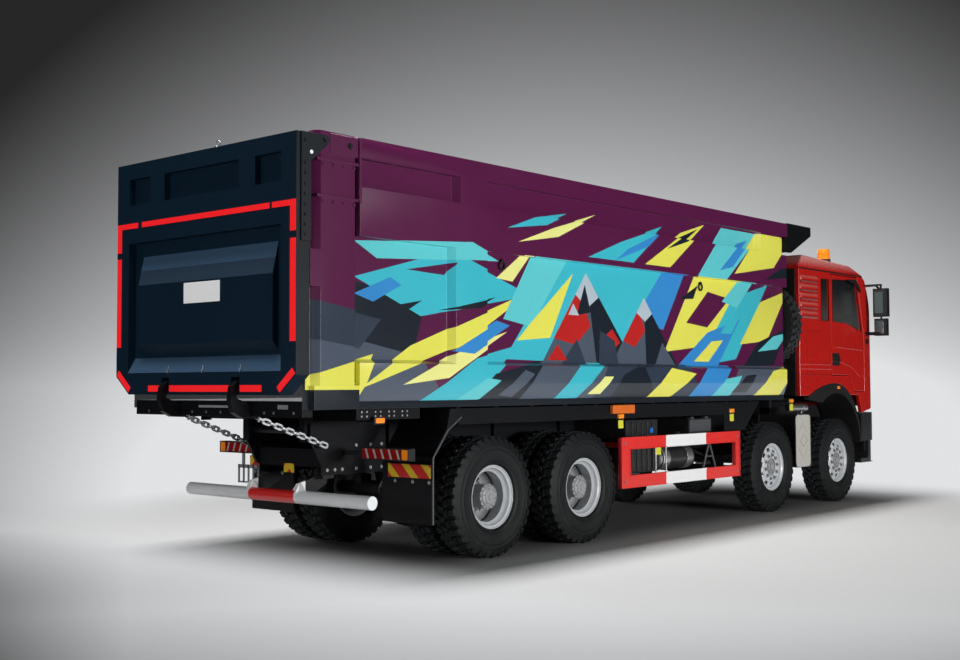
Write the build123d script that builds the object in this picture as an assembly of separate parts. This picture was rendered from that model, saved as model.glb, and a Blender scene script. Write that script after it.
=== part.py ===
from build123d import *
from math import atan2, cos, degrees, hypot, pi, radians, sin, tan
import os

# Eight-wheeled (8x4) tipping truck, modelled in millimetres.
# While it is being built, X runs forward from the rearmost axle, Y runs to the left and
# Z up from the ground. The last lines move it so that the middle of its length is at X = 0.

# ------------------------------------------------------------------ wheels and axles
HALF_W = 1250.0
TYRE_R = 562.5
TYRE_W = 310.0
TREAD_W = 262.0
BEAD_R = 262.0
RIM_WALL = 12.0
TWIN_GAP = 40.0
TYRE_OUT_REAR = HALF_W
TYRE_OUT_STEER = HALF_W - 28
HUB_BORE_GAP = 0.5
SPINDLE_R = 45.0
KINGPIN_Y = TYRE_OUT_STEER - 332
KINGPIN_R = 28.0
HAND_HOLES = 10
REAR_BASE = 1411.0
MAIN_BASE = 5857.0
STEER_BASE = 1846.0
AXLE_4 = 0.0
AXLE_3 = AXLE_4 + REAR_BASE
AXLE_1 = AXLE_3 + MAIN_BASE
AXLE_2 = AXLE_1 - STEER_BASE
BOGIE_X = (AXLE_3 + AXLE_4) / 2

# ------------------------------------------------------------------ chassis frame
RAIL_OUT = 430.0
RAIL_FLANGE = 80.0
RAIL_THICK = 10.0
RAIL_LOW = 800.0
RAIL_TOP = 1100.0
RAIL_REAR = AXLE_4 - 1400
RAIL_FRONT = AXLE_1 + 742
CROSS_W = 70.0
CROSS_LOW = 870.0
CROSS_TOP = 1030.0
SEAT_GAP = 0.3

# ------------------------------------------------------------------ tipping bed
CAB_REAR = AXLE_1 - 1168
CAB_GAP = 335.0
BED_REAR = AXLE_4 - 2245
BED_FRONT = CAB_REAR - CAB_GAP
WALL_OUT = HALF_W - 62
WALL_IN = WALL_OUT - 38
FLOOR_LOW = 1400.0
FLOOR_PLATE = 70.0
FLOOR_TOP = FLOOR_LOW + FLOOR_PLATE
SILL_DEEP = 60.0
SKIRT_FOLD = FLOOR_TOP + 142
SKIRT_TOP = FLOOR_TOP + 342
CAB_TOP = 3290.0
BED_OVER_CAB = 362.0
BED_TOP = CAB_TOP + BED_OVER_CAB
RAIL_LIP = BED_TOP - 171
BAND_TOP = RAIL_LIP - 239
PANEL_TOP = BAND_TOP - 410
RAIL_NOSE = 40.0
COLUMN_REAR = BED_REAR + 45
COLUMN_FRONT = COLUMN_REAR + 490
COLUMN_LOW = FLOOR_TOP + 125
TIP_X = AXLE_4 - 1500
TIP_Z = 1200.0
TIP_PIN_R = 35.0

# ------------------------------------------------------------------ tailgate
GATE_DEEP = 139.0
GATE_FRONT = BED_REAR - 12
GATE_BACK = GATE_FRONT - GATE_DEEP
GATE_LOW = FLOOR_TOP + 50
GATE_TOP = BED_TOP - 42
GATE_PIN_X = BED_REAR + 135
GATE_PIN_Z = BED_TOP - 82
GATE_PIN_R = 18.0
HOOK_Y = 490.0
HOOK_W = 60.0
HOOK_SLOT = 110.0
HOOK_REACH = 66.0

# ------------------------------------------------------------------ hoist
HOIST_X = BED_FRONT + CAB_GAP / 2 - 2.5
HOIST_LOW = RAIL_TOP - 100
HOIST_TOP = BED_TOP - 302
BARREL_R = 105.0
STAGE_STEP = 13.0
STAGE_GAP = 0.4
STAGES = 4

# ------------------------------------------------------------------ cab
CAB_LOW = 1445.0
CAB_FLOOR = 1500.0
FLOOR_THICK = 60.0
CAB_WALL = 60.0
ROOF_LOW = CAB_TOP - 180
CAB_NOSE = AXLE_1 + 1302
CORNER_R = 400.0
CANOPY_TIP = CAB_REAR + 354
CANOPY_TOP = BED_TOP + 11
TILT_X = CAB_NOSE - 170
TILT_Z = RAIL_TOP + 160
TILT_PIN_R = 16.0
TILT_PIN_Y = 400.0
DOOR_REAR = AXLE_1 - 238
DOOR_FRONT = AXLE_1 + 782
DOOR_LOW = 1722.0
DOOR_TOE = 1500.0
DOOR_TOP = CAB_TOP - 205
DOOR_GAP = 8.0
BUMPER_NOSE = CAB_NOSE + 30
BUMPER_REAR = AXLE_1 + 662
BUMPER_TOP = 1195.0
BUMPER_LOW = 800.0


# ------------------------------------------------------------------ making shapes
def block(x0, x1, y0, y1, z0, z1):
    """A box between two opposite corners."""
    centre = Pos((x0 + x1) / 2, (y0 + y1) / 2, (z0 + z1) / 2)
    return centre * Box(abs(x1 - x0), abs(y1 - y0), abs(z1 - z0))


def plate_xz(outline, y0, y1):
    """An outline of (x, z) corners made solid between two values of y."""
    corners = [Vector(x, y0, z) for x, z in outline]
    face = Face(Wire.make_polygon(corners, close=True))
    return Solid.extrude(face, Vector(0, y1 - y0, 0))


def plate_yz(outline, x0, x1):
    """An outline of (y, z) corners made solid between two values of x."""
    corners = [Vector(x0, y, z) for y, z in outline]
    face = Face(Wire.make_polygon(corners, close=True))
    return Solid.extrude(face, Vector(x1 - x0, 0, 0))


def plate_xy(outline, z0, z1):
    """An outline of (x, y) corners made solid between two values of z."""
    corners = [Vector(x, y, z0) for x, y in outline]
    face = Face(Wire.make_polygon(corners, close=True))
    return Solid.extrude(face, Vector(0, 0, z1 - z0))


def bar_x(radius, x0, x1, y, z):
    """A round bar along X."""
    return Pos((x0 + x1) / 2, y, z) * Rot(0, 90, 0) * Cylinder(radius, abs(x1 - x0))


def bar_y(radius, x, y0, y1, z):
    """A round bar along Y."""
    return Pos(x, (y0 + y1) / 2, z) * Rot(90, 0, 0) * Cylinder(radius, abs(y1 - y0))


def bar_z(radius, x, y, z0, z1):
    """A round bar along Z."""
    return Pos(x, y, (z0 + z1) / 2) * Cylinder(radius, abs(z1 - z0))


def turned(outline, x, z):
    """An outline of (radius, y) corners turned about the line along Y through (x, z)."""
    corners = [Vector(r, y, 0) for r, y in outline]
    face = Face(Wire.make_polygon(corners, close=True))
    return Pos(x, 0, z) * Solid.revolve(face, 360, Axis.Y)


def join(shapes):
    """One solid from shapes that touch."""
    shapes = list(shapes)
    whole = shapes[0]
    for shape in shapes[1:]:
        whole = whole + shape
    return whole


def group(shapes):
    """Several separate solids kept as one piece."""
    solids = []
    for shape in shapes:
        solids.extend(shape.solids())
    return Compound(solids)


def left_and_right(shape):
    """A right-hand shape together with its mirrored left-hand copy."""
    return [shape, shape.mirror(Plane.XZ)]


PIECES = {}


# ------------------------------------------------------------------ chassis
def frame_rail():
    """Right-hand channel rail, open towards the middle of the truck."""
    web = -RAIL_OUT + RAIL_THICK
    lip = -RAIL_OUT + RAIL_FLANGE
    outline = [
        (-RAIL_OUT, RAIL_LOW),
        (lip, RAIL_LOW),
        (lip, RAIL_LOW + RAIL_THICK),
        (web, RAIL_LOW + RAIL_THICK),
        (web, RAIL_TOP - RAIL_THICK),
        (lip, RAIL_TOP - RAIL_THICK),
        (lip, RAIL_TOP),
        (-RAIL_OUT, RAIL_TOP),
    ]
    return plate_yz(outline, RAIL_REAR, RAIL_FRONT)


CROSS_MEMBERS = [
    RAIL_REAR + 40,
    AXLE_4 - 500,
    BOGIE_X,
    AXLE_3 + 489,
    (AXLE_3 + AXLE_2) / 2 - 117,
    AXLE_2 - 922,
    AXLE_2 + 138,
    AXLE_1 - 748,
    RAIL_FRONT - 110,
]
SPRING_HALF = 680.0
SPRING_Y = 425.0
SPRING_W = 90.0
EYE_Z = 770.0
BOGIE_Y = 510.0
TRUNNION_Z = 640.0
PACK_MID = 780.0
HINGE_PLATE = 30.0
HINGE_GAP = 8.0


def make_frame():
    """Two rails, cross members, spring hangers, bogie trunnions, tipping hinge and hoist seat."""
    web = RAIL_OUT - RAIL_THICK
    parts = left_and_right(frame_rail())
    for x in CROSS_MEMBERS:
        parts.append(block(x - CROSS_W / 2, x + CROSS_W / 2, -web, web, CROSS_LOW, CROSS_TOP))
    for axle in (AXLE_1, AXLE_2):
        for end in (-SPRING_HALF, SPRING_HALF):
            x = axle + end
            hanger = block(x - 50, x + 50, -SPRING_Y - SPRING_W / 2, -RAIL_OUT + RAIL_FLANGE,
                           EYE_Z + 20, RAIL_LOW)
            parts += left_and_right(hanger)
    stand = block(BOGIE_X - 130, BOGIE_X + 130, -RAIL_OUT - 30, -RAIL_OUT, TRUNNION_Z - 60, 1000)
    arm_out = -BOGIE_Y - SPRING_W / 2
    arm = block(BOGIE_X - 90, BOGIE_X + 90, arm_out, -RAIL_OUT, TRUNNION_Z - 60, PACK_MID - SEAT_GAP)
    parts += left_and_right(stand + arm)
    hinge_out = RAIL_OUT + HINGE_GAP + HINGE_PLATE
    cheek = [
        (RAIL_REAR + 350, RAIL_LOW + 80),
        (RAIL_REAR + 350, RAIL_TOP - 20),
        (TIP_X + 70, TIP_Z + 65),
        (TIP_X - 60, TIP_Z + 65),
        (TIP_X - 60, TIP_Z - 60),
        (RAIL_REAR - 10, RAIL_LOW + 80),
    ]
    plate = plate_xz(cheek, -hinge_out, -RAIL_OUT - HINGE_GAP)
    packing = block(RAIL_REAR + 60, RAIL_REAR + 340, -RAIL_OUT - HINGE_GAP, -RAIL_OUT, 900, 1050)
    parts += left_and_right(plate + packing)
    parts.append(bar_y(TIP_PIN_R, TIP_X, -hinge_out, hinge_out, TIP_Z))
    seat_low = RAIL_LOW + RAIL_THICK
    parts.append(block(HOIST_X - 60, HOIST_X + 60, -web, web, seat_low, HOIST_LOW - 75))
    ear = block(HOIST_X - 45, HOIST_X + 45, -150, -122, HOIST_LOW - 75, HOIST_LOW + 45)
    parts += left_and_right(ear)
    parts.append(bar_y(30, HOIST_X, -150, 150, HOIST_LOW))
    return join(parts)


def steer_beam(axle):
    """Dropped front axle beam with a kingpin at each end."""
    centre = TYRE_R
    beam = block(axle - 45, axle + 45, -560, 560, centre - 105, centre - 5)
    arm = plate_yz(
        [(-560, centre - 105), (-560, centre - 5), (-KINGPIN_Y, centre + 50),
         (-KINGPIN_Y, centre - 50), (-KINGPIN_Y + 90, centre - 48)],
        axle - 45, axle + 45)
    boss = bar_z(50, axle, -KINGPIN_Y, centre - 50, centre + 50)
    pin = bar_z(KINGPIN_R, axle, -KINGPIN_Y, centre - 118, centre + 118)
    pad_top = centre + 32
    pad = block(axle - 60, axle + 60, -SPRING_Y - SPRING_W / 2, -SPRING_Y + SPRING_W / 2,
                centre - 5, pad_top)
    return join([beam] + left_and_right(arm + boss + pin) + left_and_right(pad))


DRIVE_LINE_Z = 640.0
TUBE_R = 80.0
REAR_SPINDLE_R = 62.0
REAR_SPINDLE_END = TYRE_OUT_REAR - 175
BOWL_R = 200.0


def drive_axle(axle):
    """Driven axle: tube, final-drive bowl, input nose and the spindles that carry the hubs."""
    centre = TYRE_R
    tube = bar_y(TUBE_R, axle, -570, 570, centre)
    spindle = bar_y(REAR_SPINDLE_R, axle, -REAR_SPINDLE_END, REAR_SPINDLE_END, centre)
    bowl = Pos(axle, 0, centre) * Sphere(BOWL_R)
    nose = bar_x(95, axle, axle + 300, 0, DRIVE_LINE_Z)
    seat = block(axle - 70, axle + 70, -BOGIE_Y - SPRING_W / 2, -BOGIE_Y + SPRING_W / 2,
                 centre, centre + 137)
    return join([tube, spindle, bowl, nose] + left_and_right(seat))


def make_springs():
    """Leaf packs: one over each end of each steering axle, one across each side of the bogie."""
    packs = []
    for axle in (AXLE_1, AXLE_2):
        base = TYRE_R + 32
        outline = [
            (axle - SPRING_HALF, EYE_Z - 20),
            (axle - SPRING_HALF, EYE_Z + 20),
            (axle - 380, base + 105),
            (axle, base + 80),
            (axle + 380, base + 105),
            (axle + SPRING_HALF, EYE_Z + 20),
            (axle + SPRING_HALF, EYE_Z - 20),
            (axle + 60, base),
            (axle - 60, base),
        ]
        pack = plate_xz(outline, -SPRING_Y - SPRING_W / 2, -SPRING_Y + SPRING_W / 2)
        packs += left_and_right(pack)
    low = TYRE_R + 137
    outline = [
        (AXLE_4 - 60, low),
        (BOGIE_X - 250, PACK_MID),
        (BOGIE_X + 250, PACK_MID),
        (AXLE_3 + 60, low),
        (AXLE_3 + 60, low + 45),
        (BOGIE_X + 120, PACK_MID + 140),
        (BOGIE_X - 120, PACK_MID + 140),
        (AXLE_4 - 60, low + 45),
    ]
    packs += left_and_right(plate_xz(outline, -BOGIE_Y - SPRING_W / 2, -BOGIE_Y + SPRING_W / 2))
    return group(packs)


ENGINE_REAR = AXLE_1 - 508
ENGINE_FRONT = AXLE_1 + 572
ENGINE_HALF = 300.0
ENGINE_Z = (680.0, 1400.0)
GEARBOX_REAR = AXLE_1 - 1148


def make_driveline():
    """Gearbox with the long shaft to the first drive axle, and the short shaft between the two."""
    box = block(GEARBOX_REAR, ENGINE_REAR, -210, 210, 600, CROSS_LOW - SEAT_GAP)
    nose = bar_x(90, GEARBOX_REAR - 60, GEARBOX_REAR, 0, DRIVE_LINE_Z + 20)
    long_shaft = bar_x(55, AXLE_3 + 300, GEARBOX_REAR - 60, 0, DRIVE_LINE_Z)
    tail = AXLE_3 - BOWL_R + 40
    short_shaft = bar_x(50, AXLE_4 + 300, tail, 0, DRIVE_LINE_Z)
    bowl = Pos(AXLE_3, 0, TYRE_R) * Sphere(BOWL_R + SEAT_GAP)
    return group([box + nose + long_shaft, short_shaft - bowl])


GUARD_X = (AXLE_3 + 689, AXLE_2 - 832)
GUARD_Z = (500.0, 1038.0)
GUARD_OPEN_X = (GUARD_X[0] + 170, GUARD_X[1] - 110)
GUARD_OPEN_Z = (632.0, 908.0)
GUARD_OUT = HALF_W - 45
GUARD_IN = GUARD_OUT - 40


def make_side_guards():
    """Side under-run frames, each on two arms from the chassis rail."""
    frame = block(*GUARD_X, -GUARD_OUT, -GUARD_IN, *GUARD_Z)
    hole = block(*GUARD_OPEN_X, -GUARD_OUT - 10, -GUARD_IN + 10, *GUARD_OPEN_Z)
    guard = frame - hole
    for x in (GUARD_X[0] + 100, GUARD_X[1] - 60):
        guard = guard + block(x - 25, x + 25, -GUARD_IN, -RAIL_OUT - SEAT_GAP, 925, 985)
    return group(left_and_right(guard))


FUEL_LENGTH = 1200.0
BATTERY_LENGTH = 630.0
CAP_BOX_LENGTH = 500.0
BOX_OUT = -HALF_W + 150
AIR_TANK_R = 130.0
AIR_TANK_LENGTH = 660.0
AIR_TANK_Z = 770.0


def make_tanks():
    """Fuel tank on the left, air tanks and battery box behind the right-hand guard."""
    fuel_x = GUARD_X[0] + 350
    fuel = block(fuel_x, fuel_x + FUEL_LENGTH, RAIL_OUT + 130, RAIL_OUT + 690, 480, 1050)
    fuel = fuel.fillet(90, fuel.edges().filter_by(Axis.X))
    straps = []
    for x in (fuel_x + 150, fuel_x + FUEL_LENGTH - 250):
        straps.append(block(x, x + 50, RAIL_OUT + SEAT_GAP, RAIL_OUT + 170, 850, 900))
    fuel = join([fuel] + straps)
    battery_x = GUARD_X[0] + 230
    battery_front = battery_x + BATTERY_LENGTH
    inboard = -RAIL_OUT - SEAT_GAP
    battery = block(battery_x, battery_front, BOX_OUT, inboard, 640, 1210)
    tank_x = battery_front + 100
    tanks = []
    for y in (BOX_OUT + 120, BOX_OUT + 420):
        shell = bar_x(AIR_TANK_R, tank_x, tank_x + AIR_TANK_LENGTH, y, AIR_TANK_Z)
        strap = block(tank_x + 300, tank_x + 360, y - 25, y + 25, AIR_TANK_Z + AIR_TANK_R - 20, 1010)
        tanks.append(shell + strap)
    beam = block(tank_x + 300, tank_x + 360, BOX_OUT, inboard, 1000, 1060)
    cap_x = battery_front + 620
    cap_box = block(cap_x, cap_x + CAP_BOX_LENGTH, BOX_OUT - 20, inboard, 1030, 1200)
    return group([fuel, battery, join(tanks + [beam]), cap_box])


SILENCER_GAP = 70.5
SILENCER_LENGTH = 385.0
SILENCER_Z = (520.0, 1205.0)
SILENCER_OUT = -HALF_W + 15
PIPE_R = 45.0
PIPE_Z = 1290.0
PIPE_Y = -HALF_W + 100


def make_silencer():
    """Exhaust silencer box between the two steering wheels on the right, with its outlet pipe."""
    rear = AXLE_2 + TYRE_R + SILENCER_GAP
    front = rear + SILENCER_LENGTH
    inboard = -RAIL_OUT - 210
    shell = block(rear, front, SILENCER_OUT, inboard, *SILENCER_Z)
    shell = shell.fillet(40, shell.edges().filter_by(Axis.Z))
    arm = block(rear + 150, rear + 230, inboard, -RAIL_OUT - SEAT_GAP, 850, 950)
    pipe = bar_x(PIPE_R, rear - 120, front - 40, PIPE_Y, PIPE_Z)
    foot = bar_z(PIPE_R - 5, front - 150, PIPE_Y, SILENCER_Z[1] - 15, PIPE_Z)
    return join([shell, arm, pipe, foot])


BAR_X = RAIL_REAR - 165
BAR_Z = 618.0
BAR_R = 58.0
BAR_ARM_Y = 325.0


def make_rear_bar():
    """Round rear under-run bar on two arms from the ends of the rails."""
    bar = bar_y(BAR_R, BAR_X, -HALF_W, HALF_W, BAR_Z)
    outline = [
        (BAR_X - 60, BAR_Z + 20),
        (BAR_X - 10, BAR_Z + 120),
        (RAIL_REAR + 20, RAIL_LOW - 10),
        (RAIL_REAR + 150, RAIL_LOW - 10),
        (RAIL_REAR + 150, RAIL_LOW - 80),
        (BAR_X + 40, BAR_Z - 30),
    ]
    arm = plate_xz(outline, -BAR_ARM_Y - 12, -BAR_ARM_Y + 12)
    foot = block(RAIL_REAR + 20, RAIL_REAR + 150, -RAIL_OUT, -BAR_ARM_Y + 12,
                 RAIL_LOW - 30, RAIL_LOW - SEAT_GAP)
    return join([bar] + left_and_right(arm + foot))


LAMP_X = RAIL_REAR + 250
LAMP_IN = -HALF_W + 530
LAMP_Z = (945.0, 1055.0)
BOARD_X = RAIL_REAR + 540


HEADLAMP_Y = (HALF_W - 120, HALF_W - 530)
HEADLAMP_Z = (930.0, 1090.0)


def corner_hull(nose, width, radius, z0, z1, rear):
    """Block with its two front corners rounded in plan."""
    hull = block(rear, nose, -width, width, z0, z1)
    front = hull.edges().filter_by(Axis.Z).sort_by(Axis.X)[-2:]
    return hull.fillet(radius, front)


def headlamp_pocket(gap):
    """The space of the right-hand headlamp in the bumper, shrunk by a gap all round."""
    return block(BUMPER_NOSE - 400, BUMPER_NOSE + 10, -HEADLAMP_Y[0] + gap, -HEADLAMP_Y[1] - gap,
                 HEADLAMP_Z[0] + gap, HEADLAMP_Z[1] - gap)


def headlamp():
    """Headlamp bent round the bumper's corner, standing 3 mm inside its face."""
    shell = []
    for inset in (3, 60):
        shell.append(corner_hull(BUMPER_NOSE - inset, HALF_W - inset, CORNER_R - inset,
                                 BUMPER_LOW, BUMPER_TOP, BUMPER_REAR))
    return (shell[0] - shell[1]) & headlamp_pocket(SEAT_GAP)


def make_lamps():
    """Tail lamp clusters on brackets from the rails, and the headlamps in the bumper."""
    cluster = block(LAMP_X - 35, LAMP_X + 45, -HALF_W - 50, LAMP_IN, *LAMP_Z)
    inboard = -RAIL_OUT - HINGE_GAP - HINGE_PLATE - SEAT_GAP
    arm = block(LAMP_X - 15, LAMP_X + 25, LAMP_IN, inboard, LAMP_Z[0] + 30, LAMP_Z[1] - 40)
    return group(left_and_right(cluster + arm) + left_and_right(headlamp()))


FLAP_X = BOARD_X + 30
FLAP_LOW = 370.0
WING_FRONT = FLAP_X + 390
UNDER_BED = FLOOR_LOW - 15
VALANCE_LOW = UNDER_BED - 145
BED_SIDE_GAP = 10.0


def rail_post(x0, x1, top):
    """Right-hand upright bolted to the rail's web and standing clear of the bed's bearer."""
    foot = block(x0, x1, -RAIL_OUT - BED_SIDE_GAP, -RAIL_OUT - SEAT_GAP, 940, 1090)
    upright = block(x0, x1, -RAIL_OUT - BED_SIDE_GAP - 30, -RAIL_OUT - BED_SIDE_GAP, 940, top)
    return foot + upright


def make_mudguards():
    """Rear wing sheets with their flaps, and the long valance under each side of the bed."""
    wing = [
        (WING_FRONT, UNDER_BED),
        (WING_FRONT, UNDER_BED - 67),
        (WING_FRONT - 180, UNDER_BED - 185),
        (FLAP_X + 12, 960),
        (FLAP_X + 12, FLAP_LOW),
        (FLAP_X, FLAP_LOW),
        (FLAP_X, 965),
        (WING_FRONT - 200, UNDER_BED - 170),
        (WING_FRONT - 160, UNDER_BED),
    ]
    sheet_in = -HALF_W + 630
    sheet = plate_xz(wing, -HALF_W + 10, sheet_in)
    board = block(BOARD_X, FLAP_X, -HALF_W + 5, sheet_in - 50, 800, 900)
    stay_in = -RAIL_OUT - BED_SIDE_GAP
    stay = block(WING_FRONT - 160, WING_FRONT - 120, sheet_in, stay_in, UNDER_BED - 55, UNDER_BED - 15)
    post = rail_post(WING_FRONT - 160, WING_FRONT - 120, UNDER_BED - 15)
    valance = [
        (WING_FRONT, UNDER_BED),
        (AXLE_2 - 312, UNDER_BED),
        (AXLE_2 - 335, UNDER_BED - 20),
        (GUARD_X[1] + 140, GUARD_Z[1] + 8),
        (GUARD_X[1] - 340, GUARD_Z[1] + 8),
        (GUARD_X[1] - 340, VALANCE_LOW),
        (WING_FRONT, VALANCE_LOW),
    ]
    valance_out = -HALF_W + 55
    valance_in = valance_out + 8
    long_sheet = plate_xz(valance, valance_out, valance_in)
    stays = []
    for x in (AXLE_3 - 511, AXLE_3 + 589, GUARD_X[1] - 290):
        stays.append(block(x, x + 40, valance_in, stay_in, VALANCE_LOW + 10, VALANCE_LOW + 50))
        stays.append(rail_post(x, x + 40, VALANCE_LOW + 50))
    bridge = block(WING_FRONT - 160, WING_FRONT, valance_out, valance_in, UNDER_BED - 85, UNDER_BED)
    side = join([sheet, board, stay, post, bridge, long_sheet] + stays)
    return group(left_and_right(side))


STEP_LOW = 495.0


def make_bumper():
    """Front bumper with its entry steps, on the rail ends."""
    outer = corner_hull(BUMPER_NOSE, HALF_W, CORNER_R, BUMPER_LOW, BUMPER_TOP, BUMPER_REAR)
    inner = corner_hull(BUMPER_NOSE - 70, HALF_W - 70, CORNER_R - 70, BUMPER_LOW - 10,
                        BUMPER_TOP + 10, BUMPER_REAR - 10)
    beam = block(RAIL_FRONT + SEAT_GAP, BUMPER_NOSE - 60, -RAIL_OUT - 120, RAIL_OUT + 120,
                 RAIL_LOW + 40, RAIL_TOP - 60)
    step_y = (-HALF_W + 15, -HALF_W + 390)
    step = block(BUMPER_REAR, BUMPER_REAR + 330, *step_y, STEP_LOW, STEP_LOW + 60)
    riser = block(BUMPER_REAR + 250, BUMPER_REAR + 330, *step_y, STEP_LOW, BUMPER_LOW + 20)
    skirt = corner_hull(BUMPER_NOSE - 60, HALF_W - 60, CORNER_R - 60, BUMPER_LOW - 160,
                        BUMPER_LOW, BUMPER_NOSE - 450)
    hollow = corner_hull(BUMPER_NOSE - 110, HALF_W - 110, CORNER_R - 110, BUMPER_LOW - 170,
                         BUMPER_LOW + 10, BUMPER_NOSE - 460)
    ribs = block(BUMPER_REAR + 250, BUMPER_NOSE - 60, -HALF_W + 150, -HALF_W + 200, BUMPER_LOW,
                 BUMPER_LOW + 60)
    tie = block(RAIL_FRONT + 120, RAIL_FRONT + 200, -HALF_W + 60, HALF_W - 60, BUMPER_LOW + 60,
                BUMPER_LOW + 120)
    pedestal = block(TILT_X - 22, TILT_X + 22, -TILT_PIN_Y - 20, -TILT_PIN_Y + 20, RAIL_TOP - 70, TILT_Z)
    pedestal = pedestal + bar_y(22, TILT_X, -TILT_PIN_Y - 20, -TILT_PIN_Y + 20, TILT_Z)
    pedestal = pedestal + bar_y(TILT_PIN_R, TILT_X, -TILT_PIN_Y - 62, -TILT_PIN_Y, TILT_Z)
    side = step + riser + ribs + pedestal
    shell = outer - inner
    for pocket in left_and_right(headlamp_pocket(0)):
        shell = shell - pocket
    return join([shell, beam, skirt - hollow, tie] + left_and_right(side))


PIECES["frame"] = make_frame()
PIECES["axles"] = group([
    steer_beam(AXLE_1), steer_beam(AXLE_2), drive_axle(AXLE_3), drive_axle(AXLE_4)])
PIECES["leaf_springs"] = make_springs()
PIECES["engine_block"] = block(ENGINE_REAR + SEAT_GAP, ENGINE_FRONT, -ENGINE_HALF, ENGINE_HALF,
                               *ENGINE_Z)
PIECES["driveline"] = make_driveline()
PIECES["side_guards"] = make_side_guards()
PIECES["tanks"] = make_tanks()
PIECES["silencer"] = make_silencer()
PIECES["rear_bar"] = make_rear_bar()
PIECES["lamps"] = make_lamps()
PIECES["mudguards"] = make_mudguards()
PIECES["bumper"] = make_bumper()


# ------------------------------------------------------------------ wheels
def tyre(x, middle, z=TYRE_R):
    """Tyre about the line along Y through (x, z), its middle plane at y = middle."""
    half = TYRE_W / 2
    tread = TREAD_W / 2
    outline = [
        (BEAD_R, middle - half + 35),
        (BEAD_R + 150, middle - half),
        (TYRE_R - 40, middle - half + 12),
        (TYRE_R - 14, middle - tread),
        (TYRE_R, middle - tread + 40),
        (TYRE_R, middle + tread - 40),
        (TYRE_R - 14, middle + tread),
        (TYRE_R - 40, middle + half - 12),
        (BEAD_R + 150, middle + half),
        (BEAD_R, middle + half - 35),
    ]
    return turned(outline, x, z)


def steer_rim(x):
    """Right-hand steering rim: barrel, outboard disc with hand holes and the hub."""
    middle = -TYRE_OUT_STEER + TYRE_W / 2
    out = -TYRE_OUT_STEER + 35
    inn = middle + TYRE_W / 2 - 35
    bore = SPINDLE_R + HUB_BORE_GAP
    outline = [
        (BEAD_R, out),
        (BEAD_R, inn),
        (BEAD_R - RIM_WALL, inn),
        (BEAD_R - RIM_WALL, out + 62),
        (115, out + 62),
        (115, -KINGPIN_Y - 93),
        (bore, -KINGPIN_Y - 93),
        (bore, out + 3),
        (0, out + 3),
        (0, out - 21),
        (60, out - 21),
        (80, out - 3),
        (85, out + 25),
        (190, out + 25),
        (BEAD_R - RIM_WALL - 14, out + 44),
        (BEAD_R - RIM_WALL - 14, out + 8),
        (BEAD_R - 2, out),
    ]
    wheel = turned(outline, x, TYRE_R)
    for k in range(HAND_HOLES):
        angle = 2 * pi * k / HAND_HOLES
        wheel = wheel - bar_y(22, x + 195 * cos(angle), out - 20, out + 110, TYRE_R + 195 * sin(angle))
    return wheel


def drive_rim(x):
    """Right-hand twin rims on one hub, the outer one deeply dished."""
    outer = -TYRE_OUT_REAR + TYRE_W / 2
    inner = outer + TYRE_W + TWIN_GAP
    bore = REAR_SPINDLE_R + HUB_BORE_GAP
    web = (outer + inner) / 2
    reach = TYRE_W / 2 - 35
    wall = BEAD_R - RIM_WALL
    outline = [
        (BEAD_R, outer - reach),
        (BEAD_R, outer + reach),
        (wall - 14, web - 40),
        (wall - 14, web + 40),
        (BEAD_R, inner - reach),
        (BEAD_R, inner + reach),
        (wall, inner + reach),
        (wall, web + 70),
        (wall - 28, web + 35),
        (200, web + 12),
        (130, web + 12),
        (130, inner - 10),
        (bore, inner - 10),
        (bore, -REAR_SPINDLE_END - 3),
        (0, -REAR_SPINDLE_END - 3),
        (0, outer - 95),
        (95, outer - 95),
        (132, outer - 60),
        (145, outer + 60),
        (200, web - 12),
        (wall - 28, web - 30),
        (wall, web - 65),
        (wall, outer - reach + 25),
        (BEAD_R - 2, outer - reach),
    ]
    wheel = turned(outline, x, TYRE_R)
    for k in range(HAND_HOLES):
        angle = 2 * pi * k / HAND_HOLES
        hole = bar_y(20, x + 172 * cos(angle), web - 60, web + 60, TYRE_R + 172 * sin(angle))
        wheel = wheel - hole
    return wheel


def knuckle(x):
    """Right-hand steering knuckle: two ears on the kingpin and the wheel spindle."""
    bore = KINGPIN_R + HUB_BORE_GAP
    hole = bar_z(bore, x, -KINGPIN_Y, TYRE_R - 200, TYRE_R + 200)
    ears = [
        bar_z(52, x, -KINGPIN_Y, TYRE_R + 55, TYRE_R + 112),
        bar_z(52, x, -KINGPIN_Y, TYRE_R - 112, TYRE_R - 55),
        block(x - 52, x + 52, -KINGPIN_Y - 85, -KINGPIN_Y, TYRE_R + 55, TYRE_R + 112),
        block(x - 52, x + 52, -KINGPIN_Y - 85, -KINGPIN_Y, TYRE_R - 112, TYRE_R - 55),
        block(x - 52, x + 52, -KINGPIN_Y - 85, -KINGPIN_Y - 55, TYRE_R - 112, TYRE_R + 112),
    ]
    spindle = bar_y(SPINDLE_R, x, -KINGPIN_Y - 60, -TYRE_OUT_STEER + 44, TYRE_R)
    return join(ears + [spindle]) - hole


for number, axle in ((1, AXLE_1), (2, AXLE_2)):
    right = {
        "knuckle": knuckle(axle),
        "rim": steer_rim(axle),
        "tyre": tyre(axle, -TYRE_OUT_STEER + TYRE_W / 2),
    }
    for name, shape in right.items():
        PIECES[f"{name}_{number}_right"] = shape
        PIECES[f"{name}_{number}_left"] = shape.mirror(Plane.XZ)

for number, axle in ((3, AXLE_3), (4, AXLE_4)):
    outer = -TYRE_OUT_REAR + TYRE_W / 2
    twins = group([tyre(axle, outer), tyre(axle, outer + TYRE_W + TWIN_GAP)])
    right = {"rims": drive_rim(axle), "tyres": twins}
    for name, shape in right.items():
        PIECES[f"{name}_{number}_right"] = shape
        PIECES[f"{name}_{number}_left"] = shape.mirror(Plane.XZ)


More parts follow.
